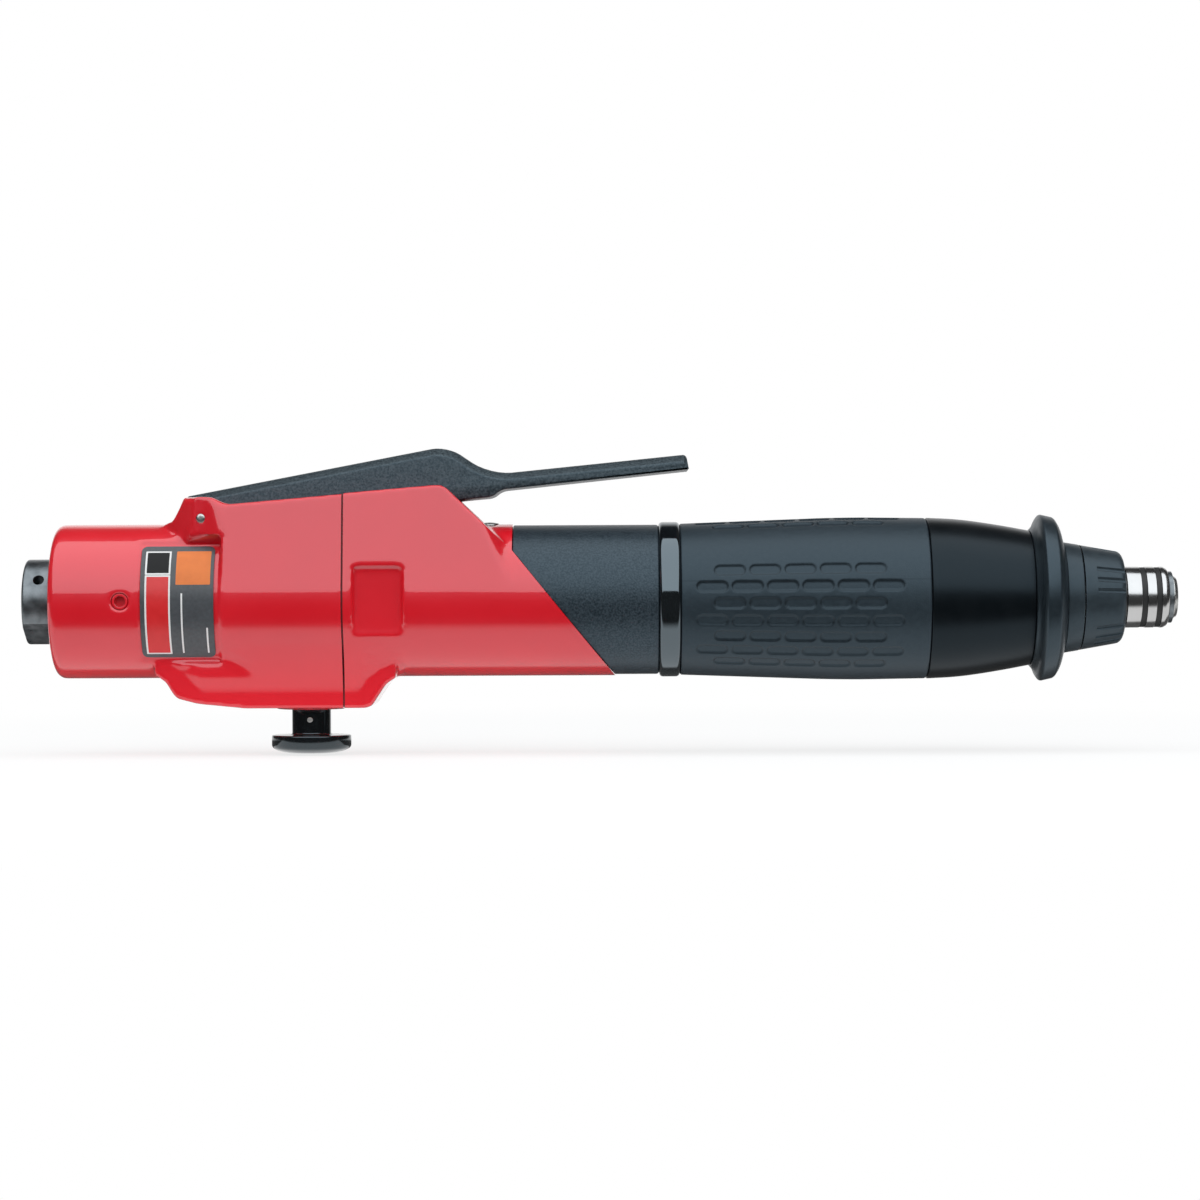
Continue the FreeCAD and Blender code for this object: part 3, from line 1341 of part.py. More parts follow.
def spindle_and_chuck():
    """Spindle with its hex socket, lock balls, spring loaded sleeve and snap ring."""
    pilot_start = driver_start + s.driver_neck / 3
    shoulder = bezel_end - s.chuck_shoulder_length
    ring_start = sleeve_front + s.running_gap
    ring_end = ring_start + s.snap_ring_thickness
    nose_edge = spindle_end - s.chuck_nose_length
    neck = collar_end + s.snout_tip_length + s.bezel_gap
    shaft = turned("spindle_shaft", [
        (pilot_start, 0), (pilot_start, s.spindle_pilot_radius),
        (driven_start, s.spindle_pilot_radius), (driven_start, s.spindle_radius),
        (neck, s.spindle_radius), (neck + s.chuck_radius - s.spindle_radius, s.chuck_radius),
        (shoulder, s.chuck_radius), (shoulder, s.chuck_shoulder_radius),
        (bezel_end, s.chuck_shoulder_radius), (bezel_end, s.chuck_radius),
        (ring_start, s.chuck_radius), (ring_start, s.snap_ring_groove),
        (ring_end, s.snap_ring_groove), (ring_end, s.chuck_nose_radius),
        (nose_edge, s.chuck_nose_radius),
        (spindle_end, s.chuck_nose_radius - s.chuck_nose_length * 0.7),
        (spindle_end, 0)])
    socket = doc.addObject("Part::Prism", "bit_hex")
    socket.Polygon = 6
    bind(socket, "Circumradius", s.bit_hex_flats / 2 / cosine(30))
    bind(socket, "Height", s.bit_hex_depth)
    place(socket, (spindle_end - s.bit_hex_depth, 0, 0), Rotation(Vector(0, 1, 0), 90))
    ball_station = spindle_end - s.lock_ball_back
    cross = cylinder("lock_hole", (ball_station, -s.chuck_radius * 2, 0),
                     s.lock_ball_radius + s.running_gap / 2, s.chuck_radius * 4, "Y")
    finished("spindle", cut("spindle_cut", shaft, [socket, cross]))
    balls = []
    for side in (-1, 1):
        balls.append(ball("lock_ball", (ball_station, s.lock_ball_circle * side, 0),
                          s.lock_ball_radius))
    finished("bit_lock_balls", grouped("lock_ball_group", balls))
    inner = s.chuck_radius + s.running_gap
    wide = s.chuck_shoulder_radius + s.running_gap * 2
    step = sleeve_front - s.chuck_sleeve_shoulder
    groove = s.chuck_sleeve_radius - s.chuck_sleeve_groove
    chamfer = s.chuck_sleeve_chamfer
    width = s.chuck_groove_width
    rear_groove = step - width * 0.6
    front_groove = sleeve_front - chamfer * 2 - width
    radius = s.chuck_sleeve_radius
    sleeve = turned("chuck_tube", [
        (sleeve_rear, wide), (sleeve_rear, radius - chamfer / 2),
        (sleeve_rear + chamfer / 2, radius), (rear_groove, radius),
        (rear_groove, groove), (rear_groove + width, groove), (rear_groove + width, radius),
        (front_groove, radius), (front_groove, groove), (front_groove + width, groove),
        (front_groove + width, radius), (sleeve_front - chamfer, radius),
        (sleeve_front, radius - chamfer), (sleeve_front, inner), (step, inner), (step, wide)])
    finished("chuck_sleeve", sleeve)
    coil("chuck_spring", s.chuck_spring_radius, s.chuck_spring_wire_radius, bezel_end,
         step - bezel_end, 5, "X", (sized(0), 0, 0))
    ring = turned("snap", [
        (ring_start, s.snap_ring_groove), (ring_start, s.snap_ring_radius),
        (ring_end, s.snap_ring_radius), (ring_end, s.snap_ring_groove)])
    finished("snap_ring", ring)


def check_and_write():
    """Recompute, make sure that every object is sound, and write one file for each piece."""
    doc.recompute()
    for thing in doc.Objects:
        if "Invalid" in thing.State or "Error" in thing.State:
            raise RuntimeError("%s did not compute: %s" % (thing.Name, thing.State))
    os.makedirs("parts", exist_ok=True)
    for piece in pieces:
        shape = piece.Shape
        if shape.isNull() or not shape.isValid() or not shape.Solids:
            raise RuntimeError("%s has no sound solid" % piece.Label)
        shape.exportStep("parts/%s.step" % piece.Label)
        print("%-20s solids %2d  volume %9.1f" % (piece.Label, len(shape.Solids), shape.Volume))


air_inlet_bush()
inlet_screen()
lever_slot = slot_tool()
rear_housing(lever_slot)
flank_details()
housing_gasket(lever_slot)
front_housing(lever_slot)
lever_and_pin()
throttle_valve()
reverse_valve()
motor()
gear_train()
sleeve_band_grip()
clutch()
nose()
spindle_and_chuck()
check_and_write()
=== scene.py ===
import math

import bmesh
import bpy
import numpy as np
from mathutils import Matrix, Vector


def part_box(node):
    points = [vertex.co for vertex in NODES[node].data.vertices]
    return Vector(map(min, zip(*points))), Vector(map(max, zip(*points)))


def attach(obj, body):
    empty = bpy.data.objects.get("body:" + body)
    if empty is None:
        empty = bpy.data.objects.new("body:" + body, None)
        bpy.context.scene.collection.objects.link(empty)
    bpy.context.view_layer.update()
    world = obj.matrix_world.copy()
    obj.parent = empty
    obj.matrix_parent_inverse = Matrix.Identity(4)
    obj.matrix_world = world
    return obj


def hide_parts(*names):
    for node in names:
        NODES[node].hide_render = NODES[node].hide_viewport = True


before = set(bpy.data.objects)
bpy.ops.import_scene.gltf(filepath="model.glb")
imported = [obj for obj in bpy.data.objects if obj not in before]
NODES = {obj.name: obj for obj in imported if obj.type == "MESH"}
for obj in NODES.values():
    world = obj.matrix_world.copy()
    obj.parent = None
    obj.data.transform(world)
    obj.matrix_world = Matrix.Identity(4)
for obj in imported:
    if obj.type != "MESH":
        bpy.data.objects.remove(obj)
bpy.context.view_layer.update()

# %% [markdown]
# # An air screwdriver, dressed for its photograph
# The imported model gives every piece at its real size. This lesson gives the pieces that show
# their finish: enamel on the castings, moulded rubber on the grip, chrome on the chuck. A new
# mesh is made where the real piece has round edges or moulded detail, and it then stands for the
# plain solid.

MM = 0.001
scene = bpy.context.scene


def span(node):
    """Lowest and highest corner of a CAD node, in millimetres."""
    low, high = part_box(node)
    return low / MM, high / MM


# %% [markdown]
# ## Camera
# The photo was taken level with the tool's axis, from its left flank. The frame is 259 mm wide at
# the axis, and a long lens from 0.735 m away gives the small difference in size between near and
# far.

# %% Camera
FRAME_WIDTH = 259.2
FRAME_CENTRE = Vector((123.6, 0.0, -0.1))
CAMERA_DISTANCE = 735.0
TOOL_TILT = 0.25

lens = bpy.data.cameras.new("camera")
lens.sensor_width = 36.0
lens.lens = lens.sensor_width * CAMERA_DISTANCE / FRAME_WIDTH
camera = bpy.data.objects.new("camera", lens)
camera.location = (FRAME_CENTRE - Vector((0, CAMERA_DISTANCE, 0))) * MM
camera.rotation_euler = (math.radians(90), math.radians(TOOL_TILT), 0)
scene.collection.objects.link(camera)
scene.camera = camera
print("lens mm", round(lens.lens, 1))

# %% [markdown]
# ## Light
# Gloss paint shows what stands round it. One very large soft light hangs above and in front of
# the tool, as in a catalogue studio, and it gives the broad pale band along the barrel. The
# backdrop is white behind the tool and the room is dim on the camera's side, so round pieces get
# thin bright rims.

# %% Softbox


def softbox(name, elevation, azimuth, distance, width, height, radiance):
    """A rectangular lamp that faces the tool, as bright as the radiance that its face shows."""
    lamp = bpy.data.lights.new(name, "AREA")
    lamp.shape = "RECTANGLE"
    lamp.size = width
    lamp.size_y = height
    lamp.energy = radiance * width * height * math.pi
    lamp.color = (0.93, 0.97, 1.0)
    up = math.radians(elevation)
    side = math.radians(azimuth)
    away = Vector((math.sin(side) * math.cos(up), -math.cos(side) * math.cos(up), math.sin(up)))
    stand = bpy.data.objects.new(name, lamp)
    stand.location = FRAME_CENTRE * MM + away * distance
    stand.rotation_euler = away.to_track_quat("Z", "Y").to_euler()
    scene.collection.objects.link(stand)


softbox("key_softbox", elevation=57, azimuth=0, distance=0.95, width=2.4, height=1.9, radiance=1.7)

# %% Sky
world = bpy.data.worlds.new("studio")
world.use_nodes = True
scene.world = world
scene.view_settings.view_transform = "Standard"
sky = world.node_tree
sky.nodes.clear()


def node(tree, kind, **values):
    """A shader node with some of its properties or inputs set by name."""
    made = tree.nodes.new(kind)
    for key, value in values.items():
        if key in made.inputs:
            made.inputs[key].default_value = value
        else:
            setattr(made, key, value)
    return made


def soft_step(tree, low, high, first=0.0, last=1.0):
    """A node that goes softly from one level to another as its value goes from low to high."""
    made = node(tree, "ShaderNodeMapRange", interpolation_type="SMOOTHSTEP")
    for key, value in (("From Min", low), ("From Max", high), ("To Min", first),
                       ("To Max", last)):
        made.inputs[key].default_value = value
    return made


def wire(tree, *pairs):
    """Join outputs to inputs."""
    for source, target in pairs:
        tree.links.new(source, target)


ROOM_GLOW = 0.34
ROOM_MIRRORED = 0.045
direction = node(sky, "ShaderNodeTexCoord")
parts = node(sky, "ShaderNodeSeparateXYZ")
behind = soft_step(sky, 0.72, 0.93)
path = node(sky, "ShaderNodeLightPath")
mirror = node(sky, "ShaderNodeMath", operation="MAXIMUM")
mirrored = node(sky, "ShaderNodeMath", operation="MULTIPLY")
backdrop = node(sky, "ShaderNodeMath", operation="MAXIMUM")
room = node(sky, "ShaderNodeMix", data_type="FLOAT")
room.inputs[2].default_value = ROOM_GLOW
room.inputs[3].default_value = ROOM_MIRRORED
level = node(sky, "ShaderNodeMix", data_type="FLOAT")
level.inputs[3].default_value = 1.0
glow = node(sky, "ShaderNodeBackground", Color=(1, 1, 1, 1))
ending = node(sky, "ShaderNodeOutputWorld")
wire(sky, (direction.outputs["Generated"], parts.inputs[0]),
     (parts.outputs["Y"], behind.inputs["Value"]),
     (path.outputs["Is Glossy Ray"], mirror.inputs[0]),
     (path.outputs["Is Transmission Ray"], mirror.inputs[1]),
     (mirror.outputs[0], mirrored.inputs[0]), (behind.outputs[0], mirrored.inputs[1]),
     (path.outputs["Is Camera Ray"], backdrop.inputs[0]),
     (mirrored.outputs[0], backdrop.inputs[1]), (mirror.outputs[0], room.inputs[0]),
     (room.outputs[0], level.inputs[2]), (backdrop.outputs[0], level.inputs[0]),
     (level.outputs[0], glow.inputs["Strength"]), (glow.outputs[0], ending.inputs[0]))

# %% [markdown]
# ## Floor
# A white floor lies just under the reverse knob. Near the tool it takes a faint shadow as paper
# does, and further out it goes over to plain white, so that no horizon shows. Reflections and
# bounced light see a painted floor instead: it glows white under the front of the tool and far
# behind it, it is painted dark on the camera's side, and it carries a painted shadow of the tool.

# %% Floor
FLOOR_HALF = 3.0
FLOOR_GAP = 0.0004
FADE_CENTRE_Y = 0.02
knob_low, knob_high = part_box("reverse_knob")
bm = bmesh.new()
bmesh.ops.create_grid(bm, x_segments=1, y_segments=1, size=FLOOR_HALF)
bmesh.ops.translate(bm, verts=bm.verts, vec=(FRAME_CENTRE.x * MM, 0, knob_low.z - FLOOR_GAP))
floor_mesh = bpy.data.meshes.new("floor")
bm.to_mesh(floor_mesh)
bm.free()
floor = bpy.data.objects.new("floor", floor_mesh)
scene.collection.objects.link(floor)
paper = bpy.data.materials.new("floor_paper")
paper.use_nodes = True
tree = paper.node_tree
tree.nodes.clear()
matte = node(tree, "ShaderNodeBsdfDiffuse", Color=(0.86, 0.86, 0.86, 1))
plain = node(tree, "ShaderNodeEmission", Color=(1, 1, 1, 1), Strength=1.0)
place = node(tree, "ShaderNodeTexCoord")
centred = node(tree, "ShaderNodeVectorMath", operation="SUBTRACT")
centred.inputs[1].default_value = (FRAME_CENTRE.x * MM, FADE_CENTRE_Y, knob_low.z)
reach = node(tree, "ShaderNodeVectorMath", operation="LENGTH")
fade = soft_step(tree, 0.12, 0.34, 0.78)
seen = node(tree, "ShaderNodeLightPath")
shown = node(tree, "ShaderNodeMixShader")
axes = node(tree, "ShaderNodeSeparateXYZ")
# Painted light for reflections and bounced light: dark on the camera's side, and a painted shadow
# of the tool under and just behind it.
painted_dark_front = soft_step(tree, -0.060, -0.036, 0.05, 1.15)
painted_tool_shadow = soft_step(tree, 0.006, 0.001, 0.10)
far_back = soft_step(tree, 0.060, 0.110)
painted_shade_level = node(tree, "ShaderNodeMath", operation="MULTIPLY")
painted_reflection_level = node(tree, "ShaderNodeMath", operation="ADD", use_clamp=True)
painted_reflection_glow = node(tree, "ShaderNodeEmission")
# The light that the floor bounces is painted dark on the camera's side.
painted_dark_bounce = node(tree, "ShaderNodeBsdfDiffuse")
either = node(tree, "ShaderNodeMath", operation="MAXIMUM")
unseen = node(tree, "ShaderNodeMixShader")
blend = node(tree, "ShaderNodeMixShader")
end = node(tree, "ShaderNodeOutputMaterial")
wire(tree, (place.outputs["Object"], centred.inputs[0]), (centred.outputs[0], reach.inputs[0]),
     (reach.outputs["Value"], fade.inputs["Value"]), (fade.outputs[0], shown.inputs[0]),
     (matte.outputs[0], shown.inputs[1]), (plain.outputs[0], shown.inputs[2]),
     (place.outputs["Object"], axes.inputs[0]), (axes.outputs["Y"], painted_dark_front.inputs["Value"]),
     (axes.outputs["Y"], painted_tool_shadow.inputs["Value"]), (axes.outputs["Y"], far_back.inputs["Value"]),
     (painted_dark_front.outputs[0], painted_shade_level.inputs[0]), (painted_tool_shadow.outputs[0], painted_shade_level.inputs[1]),
     (painted_shade_level.outputs[0], painted_reflection_level.inputs[0]), (far_back.outputs[0], painted_reflection_level.inputs[1]),
     (painted_reflection_level.outputs[0], painted_reflection_glow.inputs["Strength"]),
     (painted_dark_front.outputs[0], painted_dark_bounce.inputs["Color"]), (seen.outputs["Is Glossy Ray"], either.inputs[0]),
     (seen.outputs["Is Transmission Ray"], either.inputs[1]),
     (either.outputs[0], unseen.inputs[0]), (painted_dark_bounce.outputs[0], unseen.inputs[1]),
     (painted_reflection_glow.outputs[0], unseen.inputs[2]), (seen.outputs["Is Camera Ray"], blend.inputs[0]),
     (unseen.outputs[0], blend.inputs[1]), (shown.outputs[0], blend.inputs[2]),
     (blend.outputs[0], end.inputs[0]))
floor_mesh.materials.append(paper)

# %% [markdown]
# ## Finishes
# Three effects come back in many finishes, so each is a node group with named inputs. "mottle"
# mixes two colours in soft patches, "grain" gives a fine bumpy height, and "lathe_lines" gives
# the rings that a turning tool leaves round the axis.

# %% Shared effects


def effect(name, inputs, outputs):
    """An empty node group with its sockets; gives the tree and its two end nodes."""
    made = bpy.data.node_groups.new(name, "ShaderNodeTree")
    for label, kind, value in inputs:
        made.interface.new_socket(label, in_out="INPUT", socket_type=kind).default_value = value
    for label, kind in outputs:
        made.interface.new_socket(label, in_out="OUTPUT", socket_type=kind)
    return made, made.nodes.new("NodeGroupInput"), made.nodes.new("NodeGroupOutput")


def object_noise(tree, source, scale_socket, detail):
    """Noise on Object coordinates, its scale taken from a socket of the group."""
    where = node(tree, "ShaderNodeTexCoord")
    cloud = node(tree, "ShaderNodeTexNoise", Detail=detail)
    wire(tree, (where.outputs["Object"], cloud.inputs["Vector"]),
         (source.outputs[scale_socket], cloud.inputs["Scale"]))
    return cloud


mottle, start, finish = effect(
    "mottle",
    [("Dark", "NodeSocketColor", (0, 0, 0, 1)), ("Light", "NodeSocketColor", (1, 1, 1, 1)),
     ("Scale", "NodeSocketFloat", 100.0), ("Contrast", "NodeSocketFloat", 0.2)],
    [("Color", "NodeSocketColor"), ("Mask", "NodeSocketFloat")])
cloud = object_noise(mottle, start, "Scale", 4.0)
low_edge = node(mottle, "ShaderNodeMath", operation="SUBTRACT", Value=0.5)
high_edge = node(mottle, "ShaderNodeMath", operation="ADD", Value=0.5)
spread = node(mottle, "ShaderNodeMapRange")
tint = node(mottle, "ShaderNodeMix", data_type="RGBA")
wire(mottle, (start.outputs["Contrast"], low_edge.inputs[1]),
     (start.outputs["Contrast"], high_edge.inputs[1]),
     (cloud.outputs["Fac"], spread.inputs["Value"]),
     (low_edge.outputs[0], spread.inputs["From Min"]),
     (high_edge.outputs[0], spread.inputs["From Max"]), (spread.outputs[0], tint.inputs[0]),
     (start.outputs["Dark"], tint.inputs[6]), (start.outputs["Light"], tint.inputs[7]),
     (tint.outputs[2], finish.inputs["Color"]), (spread.outputs[0], finish.inputs["Mask"]))

grain, start, finish = effect(
    "grain", [("Scale", "NodeSocketFloat", 2000.0)],
    [("Height", "NodeSocketFloat")])
cloud = object_noise(grain, start, "Scale", 2.0)
wire(grain, (cloud.outputs["Fac"], finish.inputs["Height"]))

lathe_lines, start, finish = effect(
    "lathe_lines", [("Scale", "NodeSocketFloat", 4000.0)],
    [("Height", "NodeSocketFloat")])
where = node(lathe_lines, "ShaderNodeTexCoord")
flatten = node(lathe_lines, "ShaderNodeVectorMath", operation="MULTIPLY")
flatten.inputs[1].default_value = (1, 0, 0)
rings = node(lathe_lines, "ShaderNodeTexNoise", Detail=2.0)
wire(lathe_lines, (where.outputs["Object"], flatten.inputs[0]),
     (flatten.outputs[0], rings.inputs["Vector"]), (start.outputs["Scale"], rings.inputs["Scale"]),
     (rings.outputs["Fac"], finish.inputs["Height"]))
print("shared effects", [g.name for g in bpy.data.node_groups])

# %% A finish from those effects


def surface(name, dark, light, patch_scale, contrast, relief, relief_scale, relief_depth,
            rough, **sockets):
    """A material: two colours mottled in patches of a scale and contrast, a relief group as bump
    with its scale and its depth in millimetres, the range of roughness, plain shader sockets."""
    made = bpy.data.materials.new(name)
    made.use_nodes = True
    tree = made.node_tree
    shader = tree.nodes["Principled BSDF"]
    colour = node(tree, "ShaderNodeGroup", node_tree=mottle)
    colour.inputs["Dark"].default_value = (*dark, 1)
    colour.inputs["Light"].default_value = (*light, 1)
    colour.inputs["Scale"].default_value = patch_scale
    colour.inputs["Contrast"].default_value = contrast
    shine = node(tree, "ShaderNodeMapRange")
    shine.inputs["To Min"].default_value = rough[0]
    shine.inputs["To Max"].default_value = rough[1]
    relief_node = node(tree, "ShaderNodeGroup", node_tree=relief)
    relief_node.inputs["Scale"].default_value = relief_scale
    bump = node(tree, "ShaderNodeBump", Distance=relief_depth * MM, Strength=1.0)
    wire(tree, (colour.outputs["Color"], shader.inputs["Base Color"]),
         (colour.outputs["Mask"], shine.inputs["Value"]),
         (shine.outputs[0], shader.inputs["Roughness"]),
         (relief_node.outputs["Height"], bump.inputs["Height"]),
         (bump.outputs[0], shader.inputs["Normal"]))
    for label, value in sockets.items():
        shader.inputs[label.replace("_", " ")].default_value = value
    return made


COOL_SHEEN = (0.62, 0.84, 1.0, 1)
red_enamel = surface("red_enamel", (0.66, 0.004, 0.012), (0.72, 0.007, 0.017), 60, 0.3, grain,
                     420, 0.012, (0.30, 0.36), Coat_Weight=1.0, Coat_Roughness=0.045,
                     Coat_IOR=1.58, Specular_Tint=COOL_SHEEN)
joint_red = surface("joint_red", (0.10, 0.004, 0.006), (0.16, 0.006, 0.009), 300, 0.3, grain,
                    900, 0.01, (0.5, 0.6))
lever_coat = surface("lever_coat", (0.014, 0.020, 0.024), (0.058, 0.073, 0.081), 2500, 0.15,
                     grain, 2200, 0.05, (0.34, 0.46), Specular_IOR_Level=0.6,
                     Specular_Tint=COOL_SHEEN)
sleeve_plastic = surface("sleeve_plastic", (0.010, 0.016, 0.021), (0.036, 0.048, 0.058), 2500,
                         0.13, grain, 2400, 0.05, (0.34, 0.44), Specular_IOR_Level=0.6,
                         Specular_Tint=COOL_SHEEN)
grip_rubber = surface("grip_rubber", (0.015, 0.022, 0.028), (0.022, 0.031, 0.038), 900, 0.3,
                      grain, 3200, 0.03, (0.38, 0.48), Specular_IOR_Level=0.55,
                      Specular_Tint=COOL_SHEEN)
guard_rubber = surface("guard_rubber", (0.008, 0.012, 0.015), (0.013, 0.018, 0.022), 900, 0.3,
                       grain, 2600, 0.02, (0.32, 0.40), Specular_IOR_Level=0.8,
                       Specular_Tint=COOL_SHEEN)
gloss_black = surface("gloss_black", (0.003, 0.0035, 0.004), (0.005, 0.006, 0.007), 300, 0.3,
                      grain, 500, 0.003, (0.07, 0.12), Specular_IOR_Level=1.0,
                      Specular_Tint=(0.78, 0.92, 1.0, 1))
band_gloss = surface("band_gloss", (0.003, 0.0035, 0.004), (0.005, 0.006, 0.007), 300, 0.3,
                     grain, 500, 0.003, (0.05, 0.09), Specular_IOR_Level=0.9, IOR=1.8,
                     Specular_Tint=(0.74, 0.90, 1.0, 1))
nose_black = surface("nose_black", (0.002, 0.003, 0.004), (0.004, 0.005, 0.006), 300, 0.3,
                     grain, 900, 0.004, (0.28, 0.33), Specular_IOR_Level=0.32,
                     Specular_Tint=COOL_SHEEN)
bezel_black = surface("bezel_black", (0.018, 0.024, 0.029), (0.028, 0.037, 0.043), 700, 0.3,
                      grain, 2200, 0.012, (0.34, 0.42), Specular_IOR_Level=0.55,
                      Specular_Tint=COOL_SHEEN)
blackened = surface("blackened_steel", (0.11, 0.125, 0.135), (0.25, 0.275, 0.29), 420, 0.22,
                    lathe_lines, 1500, 0.012, (0.26, 0.40), Metallic=0.9)
chrome = surface("bright_chrome", (0.50, 0.50, 0.50), (0.58, 0.58, 0.58), 200, 0.3,
                 lathe_lines, 3500, 0.004, (0.14, 0.22), Metallic=1.0)
bright_steel = surface("bright_steel", (0.45, 0.45, 0.44), (0.60, 0.60, 0.58), 1500, 0.2,
                       grain, 2500, 0.006, (0.25, 0.36), Metallic=1.0)
machined_steel = surface("machined_steel", (0.32, 0.32, 0.33), (0.42, 0.42, 0.43), 400, 0.25,
                         lathe_lines, 2600, 0.01, (0.28, 0.38), Metallic=1.0)
brass = surface("brass", (0.48, 0.33, 0.12), (0.60, 0.43, 0.18), 500, 0.25, lathe_lines, 2600,
                0.008, (0.25, 0.35), Metallic=1.0)
turned_aluminium = surface("turned_aluminium", (0.50, 0.51, 0.52), (0.60, 0.61, 0.62), 400,
                           0.25, lathe_lines, 2600, 0.008, (0.30, 0.40), Metallic=1.0)
seal_rubber = surface("seal_rubber", (0.010, 0.010, 0.010), (0.018, 0.018, 0.018), 900, 0.25,
                      grain, 1500, 0.01, (0.5, 0.6))
vane_laminate = surface("vane_laminate", (0.16, 0.08, 0.035), (0.26, 0.14, 0.07), 1800, 0.2,
                        grain, 2200, 0.02, (0.5, 0.6))
plate_foil = surface("plate_foil", (0.055, 0.060, 0.066), (0.075, 0.082, 0.090), 1400, 0.25,
                     grain, 2400, 0.006, (0.30, 0.38), Specular_IOR_Level=0.5)
print_red = surface("print_red", (0.60, 0.016, 0.018), (0.67, 0.022, 0.025), 500, 0.3, grain,
                    2400, 0.004, (0.30, 0.36))
print_white = surface("print_white", (0.70, 0.70, 0.69), (0.78, 0.78, 0.77), 500, 0.3, grain,
                      2400, 0.004, (0.32, 0.40))
print_orange = surface("print_orange", (0.66, 0.150, 0.012), (0.74, 0.180, 0.018), 500, 0.3,
                       grain, 2400, 0.004, (0.30, 0.38))
print_dark = surface("print_dark", (0.003, 0.003, 0.0035), (0.006, 0.006, 0.007), 500, 0.3,
                     grain, 2400, 0.004, (0.30, 0.38), Specular_IOR_Level=0.25)

# %% [markdown]
# ## Finishes on the CAD pieces
# Every node gets a finish first, the hidden ones too, because the model can be taken apart.
# The pieces that show are then replaced one by one.

# %% Finishes on the nodes
FINISH_OF = {
    brass: ("inlet_screen", "throttle_bush", "reverse_bush"),
    seal_rubber: ("inlet_o_ring", "throttle_seal"),
    joint_red: ("housing_gasket",),
    vane_laminate: ("rotor_vanes",),
    turned_aluminium: ("clutch_case",),
    red_enamel: ("rear_housing", "front_housing", "port_plug"),
    lever_coat: ("lever",),
    bright_steel: ("lever_pin", "stop_screw", "throttle_stem", "spindle", "knob_pin"),
    gloss_black: ("reverse_knob",),
    band_gloss: ("clamp_band",),
    grip_rubber: ("rubber_grip",),
    sleeve_plastic: ("motor_sleeve",),
    nose_black: ("nose_cone",),
    bezel_black: ("adjust_bezel", "front_collar"),
    guard_rubber: ("hand_guard",),
    chrome: ("chuck_sleeve",),
    blackened: ("air_inlet_bush", "snap_ring"),
    plate_foil: ("label_plate",),
}


def dress(obj, material):
    """Give a piece one finish."""
    obj.data.materials.clear()
    obj.data.materials.append(material)


for name in NODES:
    dress(NODES[name], machined_steel)
for material, names in FINISH_OF.items():
    for name in names:
        dress(NODES[name], material)

# %% [markdown]
# ## Turned pieces
# Most of the tool is round about one axis, so its pieces are spun from a half section, as on a
# lathe. Each corner of the section carries its own rounding, because a moulded edge is never
# sharp, and the rounding is what catches the light.

# %% The lathe


def finished(bm, name, material, body, stands_for=(), sharp=32):
    """Close a bmesh into a named piece that rides a body and may stand for CAD nodes."""
    mesh = bpy.data.meshes.new(name)
    bm.to_mesh(mesh)
    bm.free()
    mesh.shade_smooth()
    mesh.set_sharp_from_angle(angle=math.radians(sharp))
    obj = bpy.data.objects.new(name, mesh)
    scene.collection.objects.link(obj)
    dress(obj, material)
    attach(obj, body)
    if stands_for:
        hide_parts(*stands_for)
    print(name, len(mesh.polygons), "faces")
    return obj


def half_section(section, segments=5):
    """A closed wire of (station, radius, rounding) corners in millimetres, corners rounded."""
    bm = bmesh.new()
    corners = [bm.verts.new((x * MM, 0, r * MM)) for x, r, _ in section]
    for first, second in zip(corners, corners[1:] + corners[:1]):
        bm.edges.new((first, second))
    for corner, (_, _, rounding) in zip(corners, section):
        if rounding:
            bmesh.ops.bevel(bm, geom=[corner], offset=rounding * MM, offset_type="OFFSET",
                            affect="VERTICES", segments=segments, profile=0.5, material=-1)
    return bm


def spun(section, steps=160):
    """Spin a half section about the X axis into a closed solid."""
    bm = half_section(section)
    bmesh.ops.spin(bm, geom=bm.verts[:] + bm.edges[:], cent=(0, 0, 0), axis=(1, 0, 0),
                   dvec=(0, 0, 0), angle=math.tau, steps=steps, use_merge=True)
    bmesh.ops.remove_doubles(bm, verts=bm.verts, dist=1e-7)
    bmesh.ops.recalc_face_normals(bm, faces=bm.faces)
    return bm


def upright(bm, x):
    """Stand a spun piece on end: its axis goes from X to Z, at a station of the tool."""
    turn = Matrix.Translation((x * MM, 0, 0)) @ Matrix.Rotation(math.radians(-90), 4, "Y")
    bmesh.ops.transform(bm, matrix=turn, verts=bm.verts)
    return bm


# %% [markdown]
# ## Castings
# The two castings are one blended form: a barrel, a block with leaning flanks for the lever and a
# keel with the reverse valve. Cast edges are soft everywhere, and so are the inner corners. A
# copy of both solids together is cut into even cells and relaxed, which rounds every edge by
# about the same amount. It is then parted at the joint and at the slanted end, so that only these
# machined edges stay crisp. The hollow sides of the keel and the foot of the ear round the
# lever's pin are added before that.

# %% Castings
FRONT_BARREL = 16.4
BARREL_BORE = 14.95
TUBE_END = 131
RECESS_FLOOR = 16.0
RECESS_MARGINS = (1.0, 0.7)
FAR = 60
BEYOND = 150
CASTING_END = 104.9
SLANT_TOP = Vector((CASTING_END, 0, 10.6))
SLANT_LOW = Vector((126.9, 0, -16.4))


def kept(obj):
    """Keep what the modifiers of a piece make of it, and take them off."""
    graph = bpy.context.evaluated_depsgraph_get()
    result = bpy.data.meshes.new_from_object(obj.evaluated_get(graph))
    obj.modifiers.clear()
    obj.data = result


def carved(obj, cutters):
    """Take other shapes away from a piece."""
    for cutter in cutters:
        cut = obj.modifiers.new("cut", "BOOLEAN")
        cut.operation = "DIFFERENCE"
        cut.solver = "EXACT"
        cut.object = cutter
    kept(obj)
    for cutter in cutters:
        bpy.data.objects.remove(cutter)


def cutter_of(bm, name):
    """A bmesh as a plain object, to be used as a cutter."""
    bmesh.ops.recalc_face_normals(bm, faces=bm.faces)
    mesh = bpy.data.meshes.new(name)
    bm.to_mesh(mesh)
    bm.free()
    obj = bpy.data.objects.new(name, mesh)
    scene.collection.objects.link(obj)
    return obj


